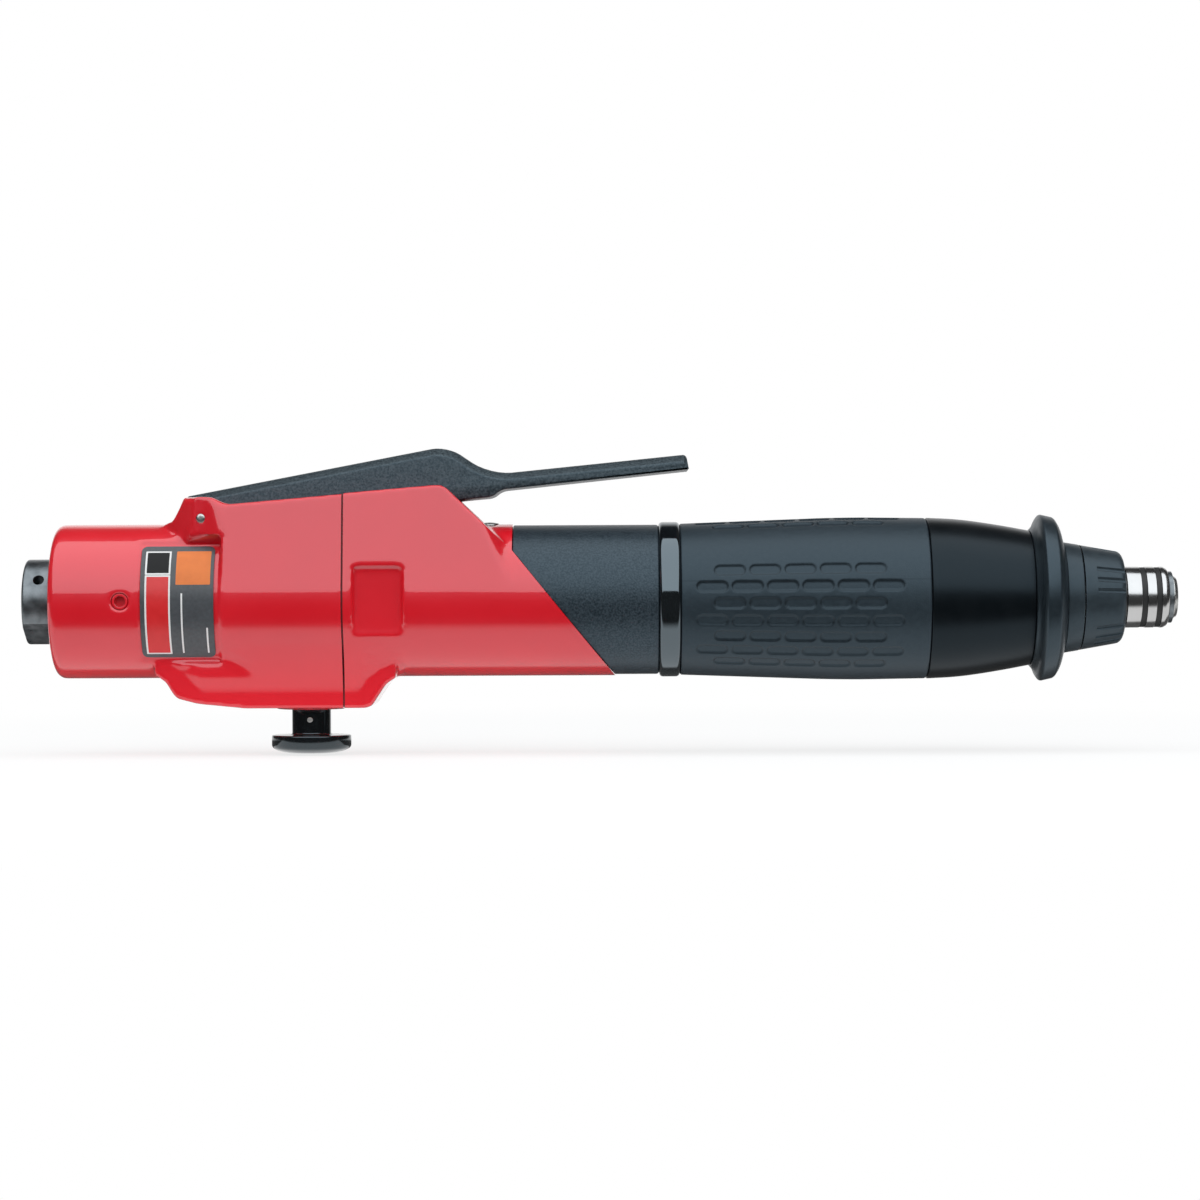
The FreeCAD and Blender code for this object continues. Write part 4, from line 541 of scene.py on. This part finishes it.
def prism(name, outline, half_width):
    """A cutter with an outline of (x, z) in millimetres, seen from the side."""
    bm = bmesh.new()
    face = bm.faces.new([bm.verts.new((x * MM, -half_width * MM, z * MM)) for x, z in outline])
    raised = bmesh.ops.extrude_face_region(bm, geom=[face])["geom"]
    moved = [part for part in raised if isinstance(part, bmesh.types.BMVert)]
    bmesh.ops.translate(bm, verts=moved, vec=(0, 2 * half_width * MM, 0))
    return cutter_of(bm, name)


def slab(name, back, front):
    """A cutter that takes all between two stations."""
    return prism(name, [(back, -FAR), (front, -FAR), (front, FAR), (back, FAR)], FAR)


def poured(bm, obj):
    """Add the mesh of a piece to a bmesh and take the piece away."""
    bm.from_mesh(obj.data)
    bpy.data.objects.remove(obj)


def relaxed(name, bm, cell, passes):
    """The same solid in even cells, its edges relaxed, as a new bmesh."""
    draft = cutter_of(bm, name)
    cells = draft.modifiers.new("cells", "REMESH")
    cells.mode = "VOXEL"
    cells.voxel_size = cell * MM
    relax = draft.modifiers.new("relax", "SMOOTH")
    relax.factor = 0.5
    relax.iterations = passes
    kept(draft)
    soft = bmesh.new()
    poured(soft, draft)
    return soft


def wrapped(x_low, x_high, angle_low, angle_high, radius, thickness, corner):
    """A thin sheet, its corners round, bent to a radius of the barrel, as a closed bmesh."""
    height = math.radians(angle_high - angle_low) * radius
    bm = bmesh.new()
    half_x = (x_high - x_low) / 2
    half_y = height / 2
    spots = [(-half_x, -half_y), (half_x, -half_y), (half_x, half_y), (-half_x, half_y)]
    corners = [bm.verts.new((x * MM, y * MM, 0)) for x, y in spots]
    bm.faces.new(corners)
    if corner:
        bmesh.ops.bevel(bm, geom=corners, offset=corner * MM, offset_type="OFFSET",
                        affect="VERTICES", segments=6, profile=0.5, material=-1)
    strips = max(2, int(height / 0.5))
    for index in range(1, strips):
        level = (-half_y + height * index / strips) * MM
        bmesh.ops.bisect_plane(bm, geom=bm.verts[:] + bm.edges[:] + bm.faces[:],
                               plane_co=(0, level, 0), plane_no=(0, 1, 0))
    side = bmesh.ops.extrude_face_region(bm, geom=bm.faces[:])["geom"]
    moved = [part for part in side if isinstance(part, bmesh.types.BMVert)]
    bmesh.ops.translate(bm, verts=moved, vec=(0, 0, thickness * MM))
    middle = math.radians((angle_low + angle_high) / 2)
    for vert in bm.verts:
        turn = vert.co.y / (radius * MM) + middle
        out = radius * MM + vert.co.z
        vert.co = Vector(((x_low + x_high) / 2 * MM + vert.co.x, -out * math.cos(turn),
                          out * math.sin(turn)))
    bmesh.ops.recalc_face_normals(bm, faces=bm.faces)
    return bm


def lofted(bm, rings):
    """Join rings that have as many vertices, one after another, and close both ends."""
    for first, second in zip(rings, rings[1:]):
        for index in range(len(first)):
            after = (index + 1) % len(first)
            bm.faces.new((first[index], first[after], second[after], second[index]))
    bm.faces.new(rings[0])
    bm.faces.new(rings[-1])


KEEL_SECTION = [(14.7, -7.2), (13.4, -10.2), (12.3, -13.0), (11.4, -15.8), (10.8, -18.2),
                (10.4, -20.4), (7.0, -20.4), (7.0, -7.2)]
KEEL_STATIONS = ((29.0, 0, 0), (33.0, 0.1, 0.45), (38.5, 0.2, 1), (44.0, 0.25, 1),
                 (50.0, 1, 1), (72.6, 1, 1), (77.8, 0.4, 0.4), (82.0, 0, 0))
KEEL_WAIST = -14


def keel_flank(bm, side):
    """Add the hollow side between barrel and keel to a bmesh, as a closed solid.

    Each station says how far the section swells out of the barrel above and below the waist.
    """
    rings = []
    for x, upper, lower in KEEL_STATIONS:
        ring = []
        for y, z in KEEL_SECTION:
            full = upper if z > KEEL_WAIST else lower
            sunk = min(1, FRONT_BARREL / math.hypot(y, z))
            share = sunk + (1 - sunk) * full
            ring.append(bm.verts.new((x * MM, y * share * side * MM, z * share * MM)))
        rings.append(ring)
    lofted(bm, rings)


seam_low, seam_high = span("housing_gasket")
bm = spun([(CASTING_END - 4, BARREL_BORE, 0), (CASTING_END - 4, FRONT_BARREL, 0),
           (TUBE_END, FRONT_BARREL, 0), (TUBE_END, BARREL_BORE, 0)])
for source in ("rear_housing", "housing_gasket", "front_housing"):
    bm.from_mesh(NODES[source].data)
plate_low, plate_high = span("label_plate")
recess_back = plate_low.x - RECESS_MARGINS[0]
recess_front = plate_high.x + RECESS_MARGINS[1]
flanks = bmesh.new()
for side in (-1, 1):
    keel_flank(flanks, side)
flanks = cutter_of(flanks, "keel_flanks")
recess = wrapped(recess_back, recess_front, -50, 50, RECESS_FLOOR, thickness=8.0, corner=0)
carved(flanks, [cutter_of(recess, "plate_recess")])
poured(bm, flanks)
foot = wrapped(35.8, recess_front, 48.4, 62, radius=14.5, thickness=4.5, corner=0)
poured(bm, cutter_of(foot, "ear_foot"))
bmesh.ops.remove_doubles(bm, verts=bm.verts, dist=1e-6)
blank = relaxed("casting_blank", bm, 0.40, 12)

# %% [markdown]
# Above the plate the near flank stands back, so that the ear round the lever's pin grows out of
# the barrel in one soft sweep. At the front the flanks lean in until they meet the barrel.

# %% Ear and front of the block
EAR_REACH = (28, 45)
EAR_FOOT = 12.0
EAR_FOOT_FLANK = 10.9
EAR_SPREAD = 0.6
EAR_FLANK = 12.3
EAR_TO_BLOCK = (38.5, 44.6)
EAR_THIN_END = 37.5
BLOCK_FLANK = 14.9
FRONT_LEAN = (97.0, 104.4)
FRONT_SWELL = 6.0


def eased(value, low, high):
    """A share from 0 to 1 that starts and stops softly."""
    share = min(max((value - low) / (high - low), 0), 1)
    return share * share * (3 - 2 * share)


def soften(bm, verts, passes):
    """Let chosen vertices flow towards their neighbours."""
    for _ in range(passes):
        bmesh.ops.smooth_vert(bm, verts=verts, factor=0.5, use_axis_x=True, use_axis_y=True,
                              use_axis_z=True)
    print("softened vertices", len(verts))


ear = []
front_flanks = []
for vert in blank.verts:
    x, y, z = vert.co / MM
    if y < 0 and EAR_REACH[0] < x < EAR_REACH[1] and z > EAR_FOOT:
        foot = min(EAR_FOOT_FLANK + (z - EAR_FOOT) * EAR_SPREAD, EAR_FLANK)
        limit = foot + (BLOCK_FLANK - foot) * eased(x, *EAR_TO_BLOCK)
        vert.co.y = max(y, -limit) * MM
        if y < -9.0 and z > 13.0:
            ear.append(vert)
    limit = FRONT_BARREL + FRONT_SWELL * (1 - eased(x, *FRONT_LEAN))
    if x > FRONT_LEAN[0] and 2 < z < 16.3 and abs(y) > 3:
        if math.hypot(y, z) > limit:
            vert.co.y = math.copysign(math.sqrt(limit ** 2 - z ** 2), y) * MM
        front_flanks.append(vert)
soften(blank, ear, 14)
soften(blank, [vert for vert in ear if vert.co.x < EAR_THIN_END * MM], 14)
soften(blank, front_flanks, 10)

# %% Two castings from the blank
rear_casting = finished(blank.copy(), "rear_casting", red_enamel, "casing", ("rear_housing",), 60)
front_casting = finished(blank, "front_casting", red_enamel, "casing", ("front_housing",), 60)
past_end = SLANT_LOW + (SLANT_LOW - SLANT_TOP).normalized() * 6
end_cut = prism("slanted_end", [(CASTING_END, 40), (CASTING_END, SLANT_TOP.z),
                                (past_end.x, past_end.z), (BEYOND, -40), (BEYOND, 40)], 40)
carved(front_casting, [slab("behind_joint", -20, seam_high.x), end_cut])
carved(rear_casting, [slab("before_joint", seam_low.x, BEYOND)])
for casting in (rear_casting, front_casting):
    casting.data.set_sharp_from_angle(angle=math.radians(50))
    print(casting.name, "triangles", sum(len(p.vertices) - 2 for p in casting.data.polygons))

# %% [markdown]
# ## Inlet bush
# The bush is turned steel, blackened, with two spanner flats and a pin hole. The flats are cut
# with a plane, and the hole with a boolean.

# %% Inlet bush


def planed(bm, point, normal):
    """Take away what lies beyond a plane, its point in millimetres, and close the cut."""
    bmesh.ops.bisect_plane(bm, geom=bm.verts[:] + bm.edges[:] + bm.faces[:],
                           plane_co=point * MM, plane_no=normal, clear_outer=True)
    bmesh.ops.holes_fill(bm, edges=[edge for edge in bm.edges if edge.is_boundary])


def rod(name, start, end, radius, sides=32):
    """A plain round cutter between two points in millimetres."""
    axis = Vector(end) - Vector(start)
    bm = bmesh.new()
    bmesh.ops.create_cone(bm, cap_ends=True, segments=sides, radius1=radius * MM,
                          radius2=radius * MM, depth=axis.length * MM)
    middle = (Vector(start) + Vector(end)) / 2 * MM
    turn = axis.to_track_quat("Z", "Y").to_matrix().to_4x4()
    bmesh.ops.transform(bm, matrix=Matrix.Translation(middle) @ turn, verts=bm.verts)
    return cutter_of(bm, name)


def facing(angle):
    """Unit vector across the tool, the angle counted from the near side upwards."""
    turn = math.radians(angle)
    return Vector((0, -math.cos(turn), math.sin(turn)))


BUSH_REACH = 6.5
BUSH_FLATS = 16.0
BUSH_SHANK = 7.9
INLET_RADIUS = 5.72
INLET_DEPTH = 12
INLET_END_RADIUS = 4.2
FLAT_ANGLE = -60
PIN_HOLE_ANGLE = 31
PIN_HOLE_STATION = Vector((3.6, 0, 0))
PIN_HOLE_RADIUS = 1.2
_, bush_high = span("air_inlet_bush")
bush_radius = bush_high.y
bm = spun([(0, INLET_RADIUS, 0.4), (0, bush_radius, 0.7), (BUSH_REACH, bush_radius, 0.2),
           (BUSH_REACH, BUSH_SHANK, 0), (bush_high.x, BUSH_SHANK, 0.4),
           (bush_high.x, INLET_END_RADIUS, 0), (INLET_DEPTH, INLET_END_RADIUS, 0),
           (INLET_DEPTH, INLET_RADIUS, 0)], 128)
for side in (1, -1):
    normal = facing(FLAT_ANGLE) * side
    planed(bm, normal * BUSH_FLATS / 2, normal)
bush = finished(bm, "inlet_bush", blackened, "casing", ("air_inlet_bush",), 25)
across = facing(PIN_HOLE_ANGLE) * bush_radius * 1.3
carved(bush, [rod("pin_hole", PIN_HOLE_STATION + across, PIN_HOLE_STATION - across,
                  PIN_HOLE_RADIUS)])

# %% [markdown]
# ## Sleeve, band and nose
# These are moulded plastics. The sleeve meets the front casting on a slanted plane, so it is spun
# as a tube and cut with that plane.

# %% Sleeve and band
SLEEVE_BORE = 14.85
SPIGOT_BORE = 13.4
SPIGOT_LENGTH = 8
SLANT_GAP = Vector((0.12, 0, 0))
BAND_BORE = 14.0
_, sleeve_high = span("motor_sleeve")
sleeve_back = CASTING_END + 0.1
spigot_back = sleeve_high.x - SPIGOT_LENGTH
slant_normal = Vector((0, 1, 0)).cross(SLANT_LOW - SLANT_TOP).normalized()
bm = spun([(sleeve_back, SLEEVE_BORE, 0), (sleeve_back, sleeve_high.y, 0.3),
           (sleeve_high.x, sleeve_high.y, 0.5), (sleeve_high.x, SPIGOT_BORE, 0),
           (spigot_back, SPIGOT_BORE, 0), (spigot_back, SLEEVE_BORE, 0)], 192)
planed(bm, SLANT_TOP + SLANT_GAP, slant_normal)
finished(bm, "slanted_sleeve", sleeve_plastic, "casing", ("motor_sleeve",))
print("slant normal", [round(v, 3) for v in slant_normal])

band_low, band_high = span("clamp_band")
finished(spun([(band_low.x, BAND_BORE, 0), (band_low.x, band_high.y, 0.9),
               (band_high.x, band_high.y, 0.9), (band_high.x, BAND_BORE, 0)], 192),
         "gloss_band", band_gloss, "casing", ("clamp_band",), 60)

# %% Nose cone, guard, collar
NOSE_BORE = 13.1
NOSE_END_BORE = 11.0
COLLAR_BORE = 10.3
nose_low, nose_high = span("nose_cone")
guard_low, guard_high = span("hand_guard")
collar_low, collar_high = span("front_collar")
back = nose_low.x
front = guard_low.x
cone = [(back + 0.05, NOSE_BORE, 0), (back + 0.05, nose_high.y, 0.35), (back + 6.9, 17.05, 3.0),
        (back + 15.3, 15.85, 4.0), (front, 14.5, 0.3), (front, NOSE_END_BORE, 0),
        (back + 12, NOSE_END_BORE, 0), (back + 12, NOSE_BORE, 0)]
finished(spun(cone, 192), "nose_shell", nose_black, "casing", ("nose_cone",), 40)
back = guard_low.x
front = guard_high.x
rim = guard_high.y
flange = [(back + 0.02, NOSE_END_BORE, 0), (back + 0.02, 14.7, 0.2), (back + 0.9, 15.6, 0.7),
          (back + 1.5, 17.2, 0.6), (back + 2.2, rim - 0.02, 0.35), (back + 5.0, rim - 0.65, 0.45),
          (back + 6.0, rim - 2.2, 0.6), (front - 0.2, 13.0, 0.8), (front, 12.2, 0.2),
          (front, NOSE_END_BORE, 0)]
finished(spun(flange, 192), "guard_flange", guard_rubber, "casing", ("hand_guard",), 50)
back = collar_low.x + 0.05
front = collar_high.x
finished(spun([(back, COLLAR_BORE, 0), (back, 12.0, 0.25), (front, 11.4, 0.3),
               (front, COLLAR_BORE, 0)]),
         "lock_collar", bezel_black, "casing", ("front_collar",), 40)

# %% [markdown]
# ## Rubber grip
# The grip is moulded rubber with rows of shallow pockets in three groups round it. It is spun
# with even, fine cells, and each cell that lies in a pocket moves inwards, most at the pocket's
# middle.

# %% Rubber grip
GRIP_BORE = 14.0
GRIP_CELL = 0.25
GRIP_SKIN = 16.0
CREST_BACK = 17.8
POCKET_LENGTH = 6.8
POCKET_HEIGHT = 2.45
POCKET_PITCH = 7.45
POCKET_DEPTH = 0.34
POCKET_EDGE = 0.30
ROWS = 7
ROW_STEP = 12.4
GROUP_ANGLES = (-15.6, 104.4, 224.4)
ROW_CENTRE = 166.0
PARTING_ANGLE = 13.6
PARTING_CLEAR = 21
grip_low, grip_high = span("rubber_grip")
back = grip_low.x + 0.02
front = grip_high.x - 0.02
bm = half_section([(back, GRIP_BORE, 0), (back, 16.3, 0.35),
                   (grip_high.x - CREST_BACK, grip_high.y, 6.0), (front, 17.3, 0.5),
                   (front, GRIP_BORE, 0)])
outer_edges = [edge for edge in bm.edges if min(v.co.z for v in edge.verts) > GRIP_SKIN * MM
               and edge.calc_length() > 1.0 * MM]
for edge in outer_edges:
    cuts = int(edge.calc_length() / MM / GRIP_CELL)
    bmesh.ops.subdivide_edges(bm, edges=[edge], cuts=cuts)
bmesh.ops.spin(bm, geom=bm.verts[:] + bm.edges[:], cent=(0, 0, 0), axis=(1, 0, 0),
               dvec=(0, 0, 0), angle=math.tau, steps=410, use_merge=True)
bmesh.ops.recalc_face_normals(bm, faces=bm.faces)


def pocket_depth(x, angle, radius):
    """Depth of the pockets at a place on the grip, and how near it is to a pocket's rim."""
    depth = np.zeros_like(x)
    rim = np.zeros_like(x)
    for group in GROUP_ANGLES:
        for row in range(ROWS):
            count = 5 if row % 2 == 0 else 6
            off = (angle - group - (row - ROWS // 2) * ROW_STEP + 180) % 360 - 180
            height = np.radians(off) * radius
            for index in range(count):
                middle = ROW_CENTRE + (index - (count - 1) / 2) * POCKET_PITCH
                along = np.maximum(np.abs(x - middle) - (POCKET_LENGTH - POCKET_HEIGHT) / 2, 0)
                inside = POCKET_HEIGHT / 2 - np.hypot(along, height)
                ramp = np.clip(inside / POCKET_EDGE, 0, 1)
                depth = np.maximum(depth, ramp * ramp * (3 - 2 * ramp))
                rim = np.maximum(rim, np.exp(-((inside - 0.12) / 0.17) ** 2))
    # The second mask is painted crease shade just inside each pocket's rim, plus a fainter dark
    # line along the parting line.
    parting = np.exp(-(np.radians(angle - PARTING_ANGLE) * radius / 0.14) ** 2)
    parting *= np.abs(x - ROW_CENTRE) > PARTING_CLEAR
    return depth * POCKET_DEPTH, np.maximum(rim, parting * 0.6)


grip = finished(bm, "moulded_grip", grip_rubber, "casing", ("rubber_grip",), 50)
places = np.zeros(len(grip.data.vertices) * 3)
grip.data.vertices.foreach_get("co", places)
places = places.reshape(-1, 3)
radius = np.hypot(places[:, 1], places[:, 2]) / MM
angle = np.degrees(np.arctan2(places[:, 2], -places[:, 1]))
depth, rim = pocket_depth(places[:, 0] / MM, angle, radius)
depth *= radius > GRIP_SKIN
grip.data.attributes.new("rim", "FLOAT", "POINT").data.foreach_set("value", rim)
places[:, 1:] *= ((radius - depth) / radius)[:, None]
grip.data.vertices.foreach_set("co", places.ravel())
grip.data.update()
print("pocket cells", int((depth > 0).sum()))

# %% [markdown]
# The crease round each pocket gets painted shade: its colour is drawn towards near black there.
# The mesh carries that crease as its own attribute.

# %% Painted shade in the creases
CREASE_SHADE_STRENGTH = 0.82
CREASE_SHADE_COLOUR = (0.002, 0.003, 0.004, 1)
tree = grip_rubber.node_tree
shader = tree.nodes["Principled BSDF"]
plain_colour = shader.inputs["Base Color"].links[0].from_socket
# Painted shade: the rim attribute darkens the base colour towards near black in each pocket's
# crease.
crease_shade_mask = node(tree, "ShaderNodeAttribute", attribute_name="rim")
crease_shade_amount = node(tree, "ShaderNodeMath", operation="MULTIPLY")
crease_shade_amount.inputs[1].default_value = CREASE_SHADE_STRENGTH
crease_shaded_colour = node(tree, "ShaderNodeMix", data_type="RGBA")
crease_shaded_colour.inputs[7].default_value = CREASE_SHADE_COLOUR
wire(tree, (crease_shade_mask.outputs["Fac"], crease_shade_amount.inputs[0]), (crease_shade_amount.outputs[0], crease_shaded_colour.inputs[0]),
     (plain_colour, crease_shaded_colour.inputs[6]), (crease_shaded_colour.outputs[2], shader.inputs["Base Color"]))

# %% [markdown]
# ## Torque bezel
# The bezel is turned by hand, so it has five groups of three grooves. They are round bottomed
# cuts that run out at the front edge.

# %% Torque bezel
BEZEL_RADIUS = 11.3
BEZEL_END_RADIUS = 9.75
BEZEL_BORE = 10.1
BEZEL_END_BORE = 7.3
BEZEL_LIP = 4.4
GROOVE_RADIUS = 0.62
GROOVE_LENGTH = 6.4
FIRST_GROUP = 21
GROOVE_STEP = 13.5
bezel_low, bezel_high = span("adjust_bezel")
back = bezel_low.x + 0.03
front = bezel_high.x
lean = (BEZEL_RADIUS - BEZEL_END_RADIUS) / (front - bezel_low.x)
fine_rings = [(front - behind, BEZEL_END_RADIUS + lean * behind, 0)
              for behind in (9, 8, 7, 6, 5, 4, 3, 2.2)]
section = [(back, BEZEL_BORE, 0), (back, BEZEL_RADIUS, 0.25)] + fine_rings + [
    (front, BEZEL_END_RADIUS, 1.3), (front, BEZEL_END_BORE, 0.3),
    (front - BEZEL_LIP, BEZEL_END_BORE, 0), (front - BEZEL_LIP, BEZEL_BORE, 0)]
bezel = finished(spun(section, 240), "torque_bezel", bezel_black, "bezel", ("adjust_bezel",), 40)
cutters = []
for group in range(5):
    for line in (-1, 0, 1):
        out = facing(FIRST_GROUP + group * 72 + line * GROOVE_STEP)
        near = out * (10.0 + lean * GROOVE_LENGTH) + Vector((front - GROOVE_LENGTH, 0, 0))
        far = out * (9.88 - lean * 1.5) + Vector((front + 1.5, 0, 0))
        cutters.append(rod("groove", near, far, GROOVE_RADIUS, 28))
carved(bezel, cutters)
bezel.data.set_sharp_from_angle(angle=math.radians(19))

# %% [markdown]
# ## Chuck
# The sleeve of the quick-change chuck is chromed, with a dark band in each of its two turned
# grooves. The snap ring and the end of the spindle with its hex socket stay as the CAD has them.

# %% Chuck
CHUCK_BORE = 6.0
CHUCK_END_BORE = 5.0
CHUCK_STEP = 4.4
GROOVES = (240.4, 243.55)
GROOVE_HALF = 0.6
GROOVE_DEPTH = 0.45
BAND_HALF = 0.56
BAND_HEIGHT = 0.3
chuck_low, chuck_high = span("chuck_sleeve")
chuck_radius = chuck_high.y
front = chuck_high.x
step = front - CHUCK_STEP
section = [(chuck_low.x, CHUCK_BORE, 0), (chuck_low.x, chuck_radius, 0.2)]
for groove in GROOVES:
    for x, sunk in ((-GROOVE_HALF, 0), (-GROOVE_HALF, GROOVE_DEPTH), (GROOVE_HALF, GROOVE_DEPTH),
                    (GROOVE_HALF, 0)):
        section.append((groove + x, chuck_radius - sunk, 0.08))
section += [(front - 0.9, chuck_radius, 0.2), (front, chuck_radius - 0.45, 0.3),
            (front, CHUCK_END_BORE, 0), (step, CHUCK_END_BORE, 0), (step, CHUCK_BORE, 0)]
finished(spun(section), "chrome_sleeve", chrome, "chuck_sleeve", ("chuck_sleeve",), 30)
low = chuck_radius - GROOVE_DEPTH
for index, groove in enumerate(GROOVES):
    back = groove - BAND_HALF
    front = groove + BAND_HALF
    finished(spun([(back, low, 0), (back, low + BAND_HEIGHT, 0.08),
                   (front, low + BAND_HEIGHT, 0.08), (front, low, 0)]),
             "grip_band_%d" % (index + 1), seal_rubber, "chuck_sleeve", (), 30)

# %% [markdown]
# ## Reverse knob
# A turned knob in gloss black on a short stem, held by a cross pin.

# %% Reverse knob
STEM_TOP = -20.0
STEM_RADIUS = 4.2
STEM_BORE = 2.4
DISC_TOP = -28.9
DISC_LOW = -31.6
DISC_RADIUS = 8.55
knob_x = (knob_low.x + knob_high.x) / 2 / MM
knob_z = knob_low.z / MM
section = [(STEM_TOP, STEM_BORE, 0), (STEM_TOP, STEM_RADIUS, 0.3), (DISC_TOP, STEM_RADIUS, 0.5),
           (DISC_TOP, DISC_RADIUS, 0.35), (DISC_LOW, DISC_RADIUS, 0.6), (knob_z, 6.2, 1.8),
           (knob_z, 0, 0), (DISC_TOP, 0, 0), (DISC_TOP, STEM_BORE, 0)]
finished(upright(spun(section, 128), knob_x), "push_knob", gloss_black, "reverse",
         ("reverse_knob",), 40)


def across_pin(name, x, z, ends, radius, round_end, body, node_name):
    """A bright round pin that lies across the tool, with domed ends near and far."""
    near, far = ends
    bm = spun([(-near, 0, 0), (-near, radius, round_end), (far, radius, round_end),
               (far, 0, 0)], 48)
    turn = Matrix.Translation((x * MM, 0, z * MM)) @ Matrix.Rotation(math.radians(90), 4, "Z")
    bmesh.ops.transform(bm, matrix=turn, verts=bm.verts)
    finished(bm, name, bright_steel, body, (node_name,), 50)


across_pin("roll_pin", knob_x, -25.6, (4.24, 4.24), 0.7, 0.3, "reverse", "knob_pin")
across_pin("pivot_pin", 38.9, 17.6, (12.7, 13.5), 1.05, 0.5, "casing", "lever_pin")

# %% [markdown]
# ## Stop screw and plug
# The lever lands on the bright dome of a screw. The plug sits in the near flank, a little under
# the surface, with a socket in its middle.

# %% Stop screw and plug
SHANK_RADIUS = 1.4
HEAD_RADIUS = 2.2
PLUG_SEAT = 15.2
PLUG_SEAT_RADIUS = 1.85
PLUG_FACE = 16.2
PLUG_RADIUS = 1.72
SOCKET_FLOOR = 14.6
SOCKET_RADIUS = 1.15
screw_low, screw_high = span("stop_screw")
screw_x = (screw_low.x + screw_high.x) / 2
foot = screw_low.z
top = screw_high.z
section = [(foot, 0, 0), (foot, SHANK_RADIUS, 0), (top - 0.9, SHANK_RADIUS, 0),
           (top - 0.9, HEAD_RADIUS, 0.1), (top - 0.35, HEAD_RADIUS, 0.3), (top, 0.9, 1.4),
           (top, 0, 0)]
finished(upright(spun(section, 64), screw_x), "stop_dome", bright_steel, "casing",
         ("stop_screw",), 50)
plug_low, plug_high = span("port_plug")
plug_x = (plug_low.x + plug_high.x) / 2
plug_end = -plug_high.y
carved(rear_casting, [rod("plug_seat", (plug_x, -20, 0), (plug_x, -PLUG_SEAT, 0),
                          PLUG_SEAT_RADIUS, 48)])
bm = spun([(PLUG_FACE, SOCKET_RADIUS, 0.12), (PLUG_FACE, PLUG_RADIUS, 0.15),
           (plug_end, PLUG_RADIUS, 0), (plug_end, 0, 0), (SOCKET_FLOOR, 0, 0),
           (SOCKET_FLOOR, SOCKET_RADIUS, 0)], 48)
turn = Matrix.Translation((plug_x * MM, 0, 0)) @ Matrix.Rotation(math.radians(-90), 4, "Z")
bmesh.ops.transform(bm, matrix=turn, verts=bm.verts)
finished(bm, "socket_plug", red_enamel, "casing", ("port_plug",), 40)

# %% [markdown]
# ## Lever
# The lever is a coated casting. Its side profile is drawn once, given its width, and its long
# edges are broken, most along the top, where the hand closes on it. Each level stands for one
# line along the edge: how far it lies in from the side, how far below the top and how far above
# the bottom.

# %% Lever
LEVER_OUTLINE = [
    (35.1, 22.5, 0.5), (90.95, 33.1, 3.4), (100.16, 26.88, 4.6), (142.2, 31.05, 0.8),
    (142.8, 27.8, 0.3), (102.4, 23.6, 1.2), (100.8, 22.1, 1.1), (92.7, 21.4, 5.0),
    (41.6, 14.9, 2.0), (36.6, 14.9, 1.5), (35.1, 16.8, 1.5)]
LEVELS = ((0, 1.80, 0.32), (0.05, 1.62, 0.16), (0.16, 1.46, 0.05), (0.34, 1.32, 0),
          (2.0, 0.18, 0), (2.5, 0, 0))
_, lever_high = span("lever")
half_width = lever_high.y
bm = half_section(LEVER_OUTLINE, segments=6)
side = bmesh.ops.contextual_create(bm, geom=bm.edges[:])["faces"][0]
spots = [vert.co / MM for vert in side.verts]
area = sum(a.x * b.z - b.x * a.z for a, b in zip(spots, spots[1:] + spots[:1]))
turn = -1 if area > 0 else 1
bm.clear()
rings = []
for flank, levels in ((-1, LEVELS), (1, LEVELS[::-1])):
    for inset, drop, lift in levels:
        ring = []
        for index, spot in enumerate(spots):
            along = spots[(index + 1) % len(spots)] - spots[index - 1]
            out = Vector((-along.z, 0, along.x)).normalized() * turn
            x = spot.x - lift * eased(out.x, 0.3, 0.8)
            z = spot.z - drop * eased(out.z, 0.1, 0.5) / max(out.z, 0.7)
            z += lift * eased(-out.z, 0.1, 0.5)
            ring.append(bm.verts.new((x * MM, flank * (half_width - inset) * MM, z * MM)))
        rings.append(ring)
lofted(bm, rings)
bmesh.ops.recalc_face_normals(bm, faces=bm.faces)
finished(bm, "throttle_lever", lever_coat, "lever", ("lever",), 38)
print("lever top", round(max(spot.z for spot in spots), 2), "to", round(lever_high.z, 2))

# %% [markdown]
# ## Plate
# The plate on the flank wraps round the barrel in a shallow recess. It carries plain blocks of
# colour.

# %% Plate
PLATE_THICKNESS = 0.35
INK = 0.02
BORDER = 0.38
BORDER_ANGLE = 1.3
PRINT_RADIUS = RECESS_FLOOR + PLATE_THICKNESS


def printed(name, stations, angles, material, corner=0.1, radius=PRINT_RADIUS):
    """A film of ink on the plate, between two stations and two angles."""
    finished(wrapped(*stations, *angles, radius, INK, corner), name, material, "casing", (), 40)


bm = wrapped(plate_low.x - 0.5, plate_high.x - 0.5, -46.6, 45.6, RECESS_FLOOR, PLATE_THICKNESS,
             corner=1.3)
finished(bm, "flank_plate", plate_foil, "casing", ("label_plate",), 40)
for name, low, high, ink in (("red", -43.0, 19.8, print_red), ("dark", 20.2, 40.4, print_dark)):
    printed(name + "_block_border", (27.35, 32.75), (low, high), print_white)
    printed(name + "_block", (27.35 + BORDER, 32.75 - BORDER),
            (low + BORDER_ANGLE, high - BORDER_ANGLE), ink, radius=PRINT_RADIUS + INK)
printed("orange_block", (33.9, 41.2), (12.4, 40.4), print_orange, corner=0.2)
for index, (x, low, high) in enumerate(((35.0, -42, 6), (40.3, -42, -20))):
    printed("ruled_line_%d" % (index + 1), (x, x + 0.35), (low, high), print_white)
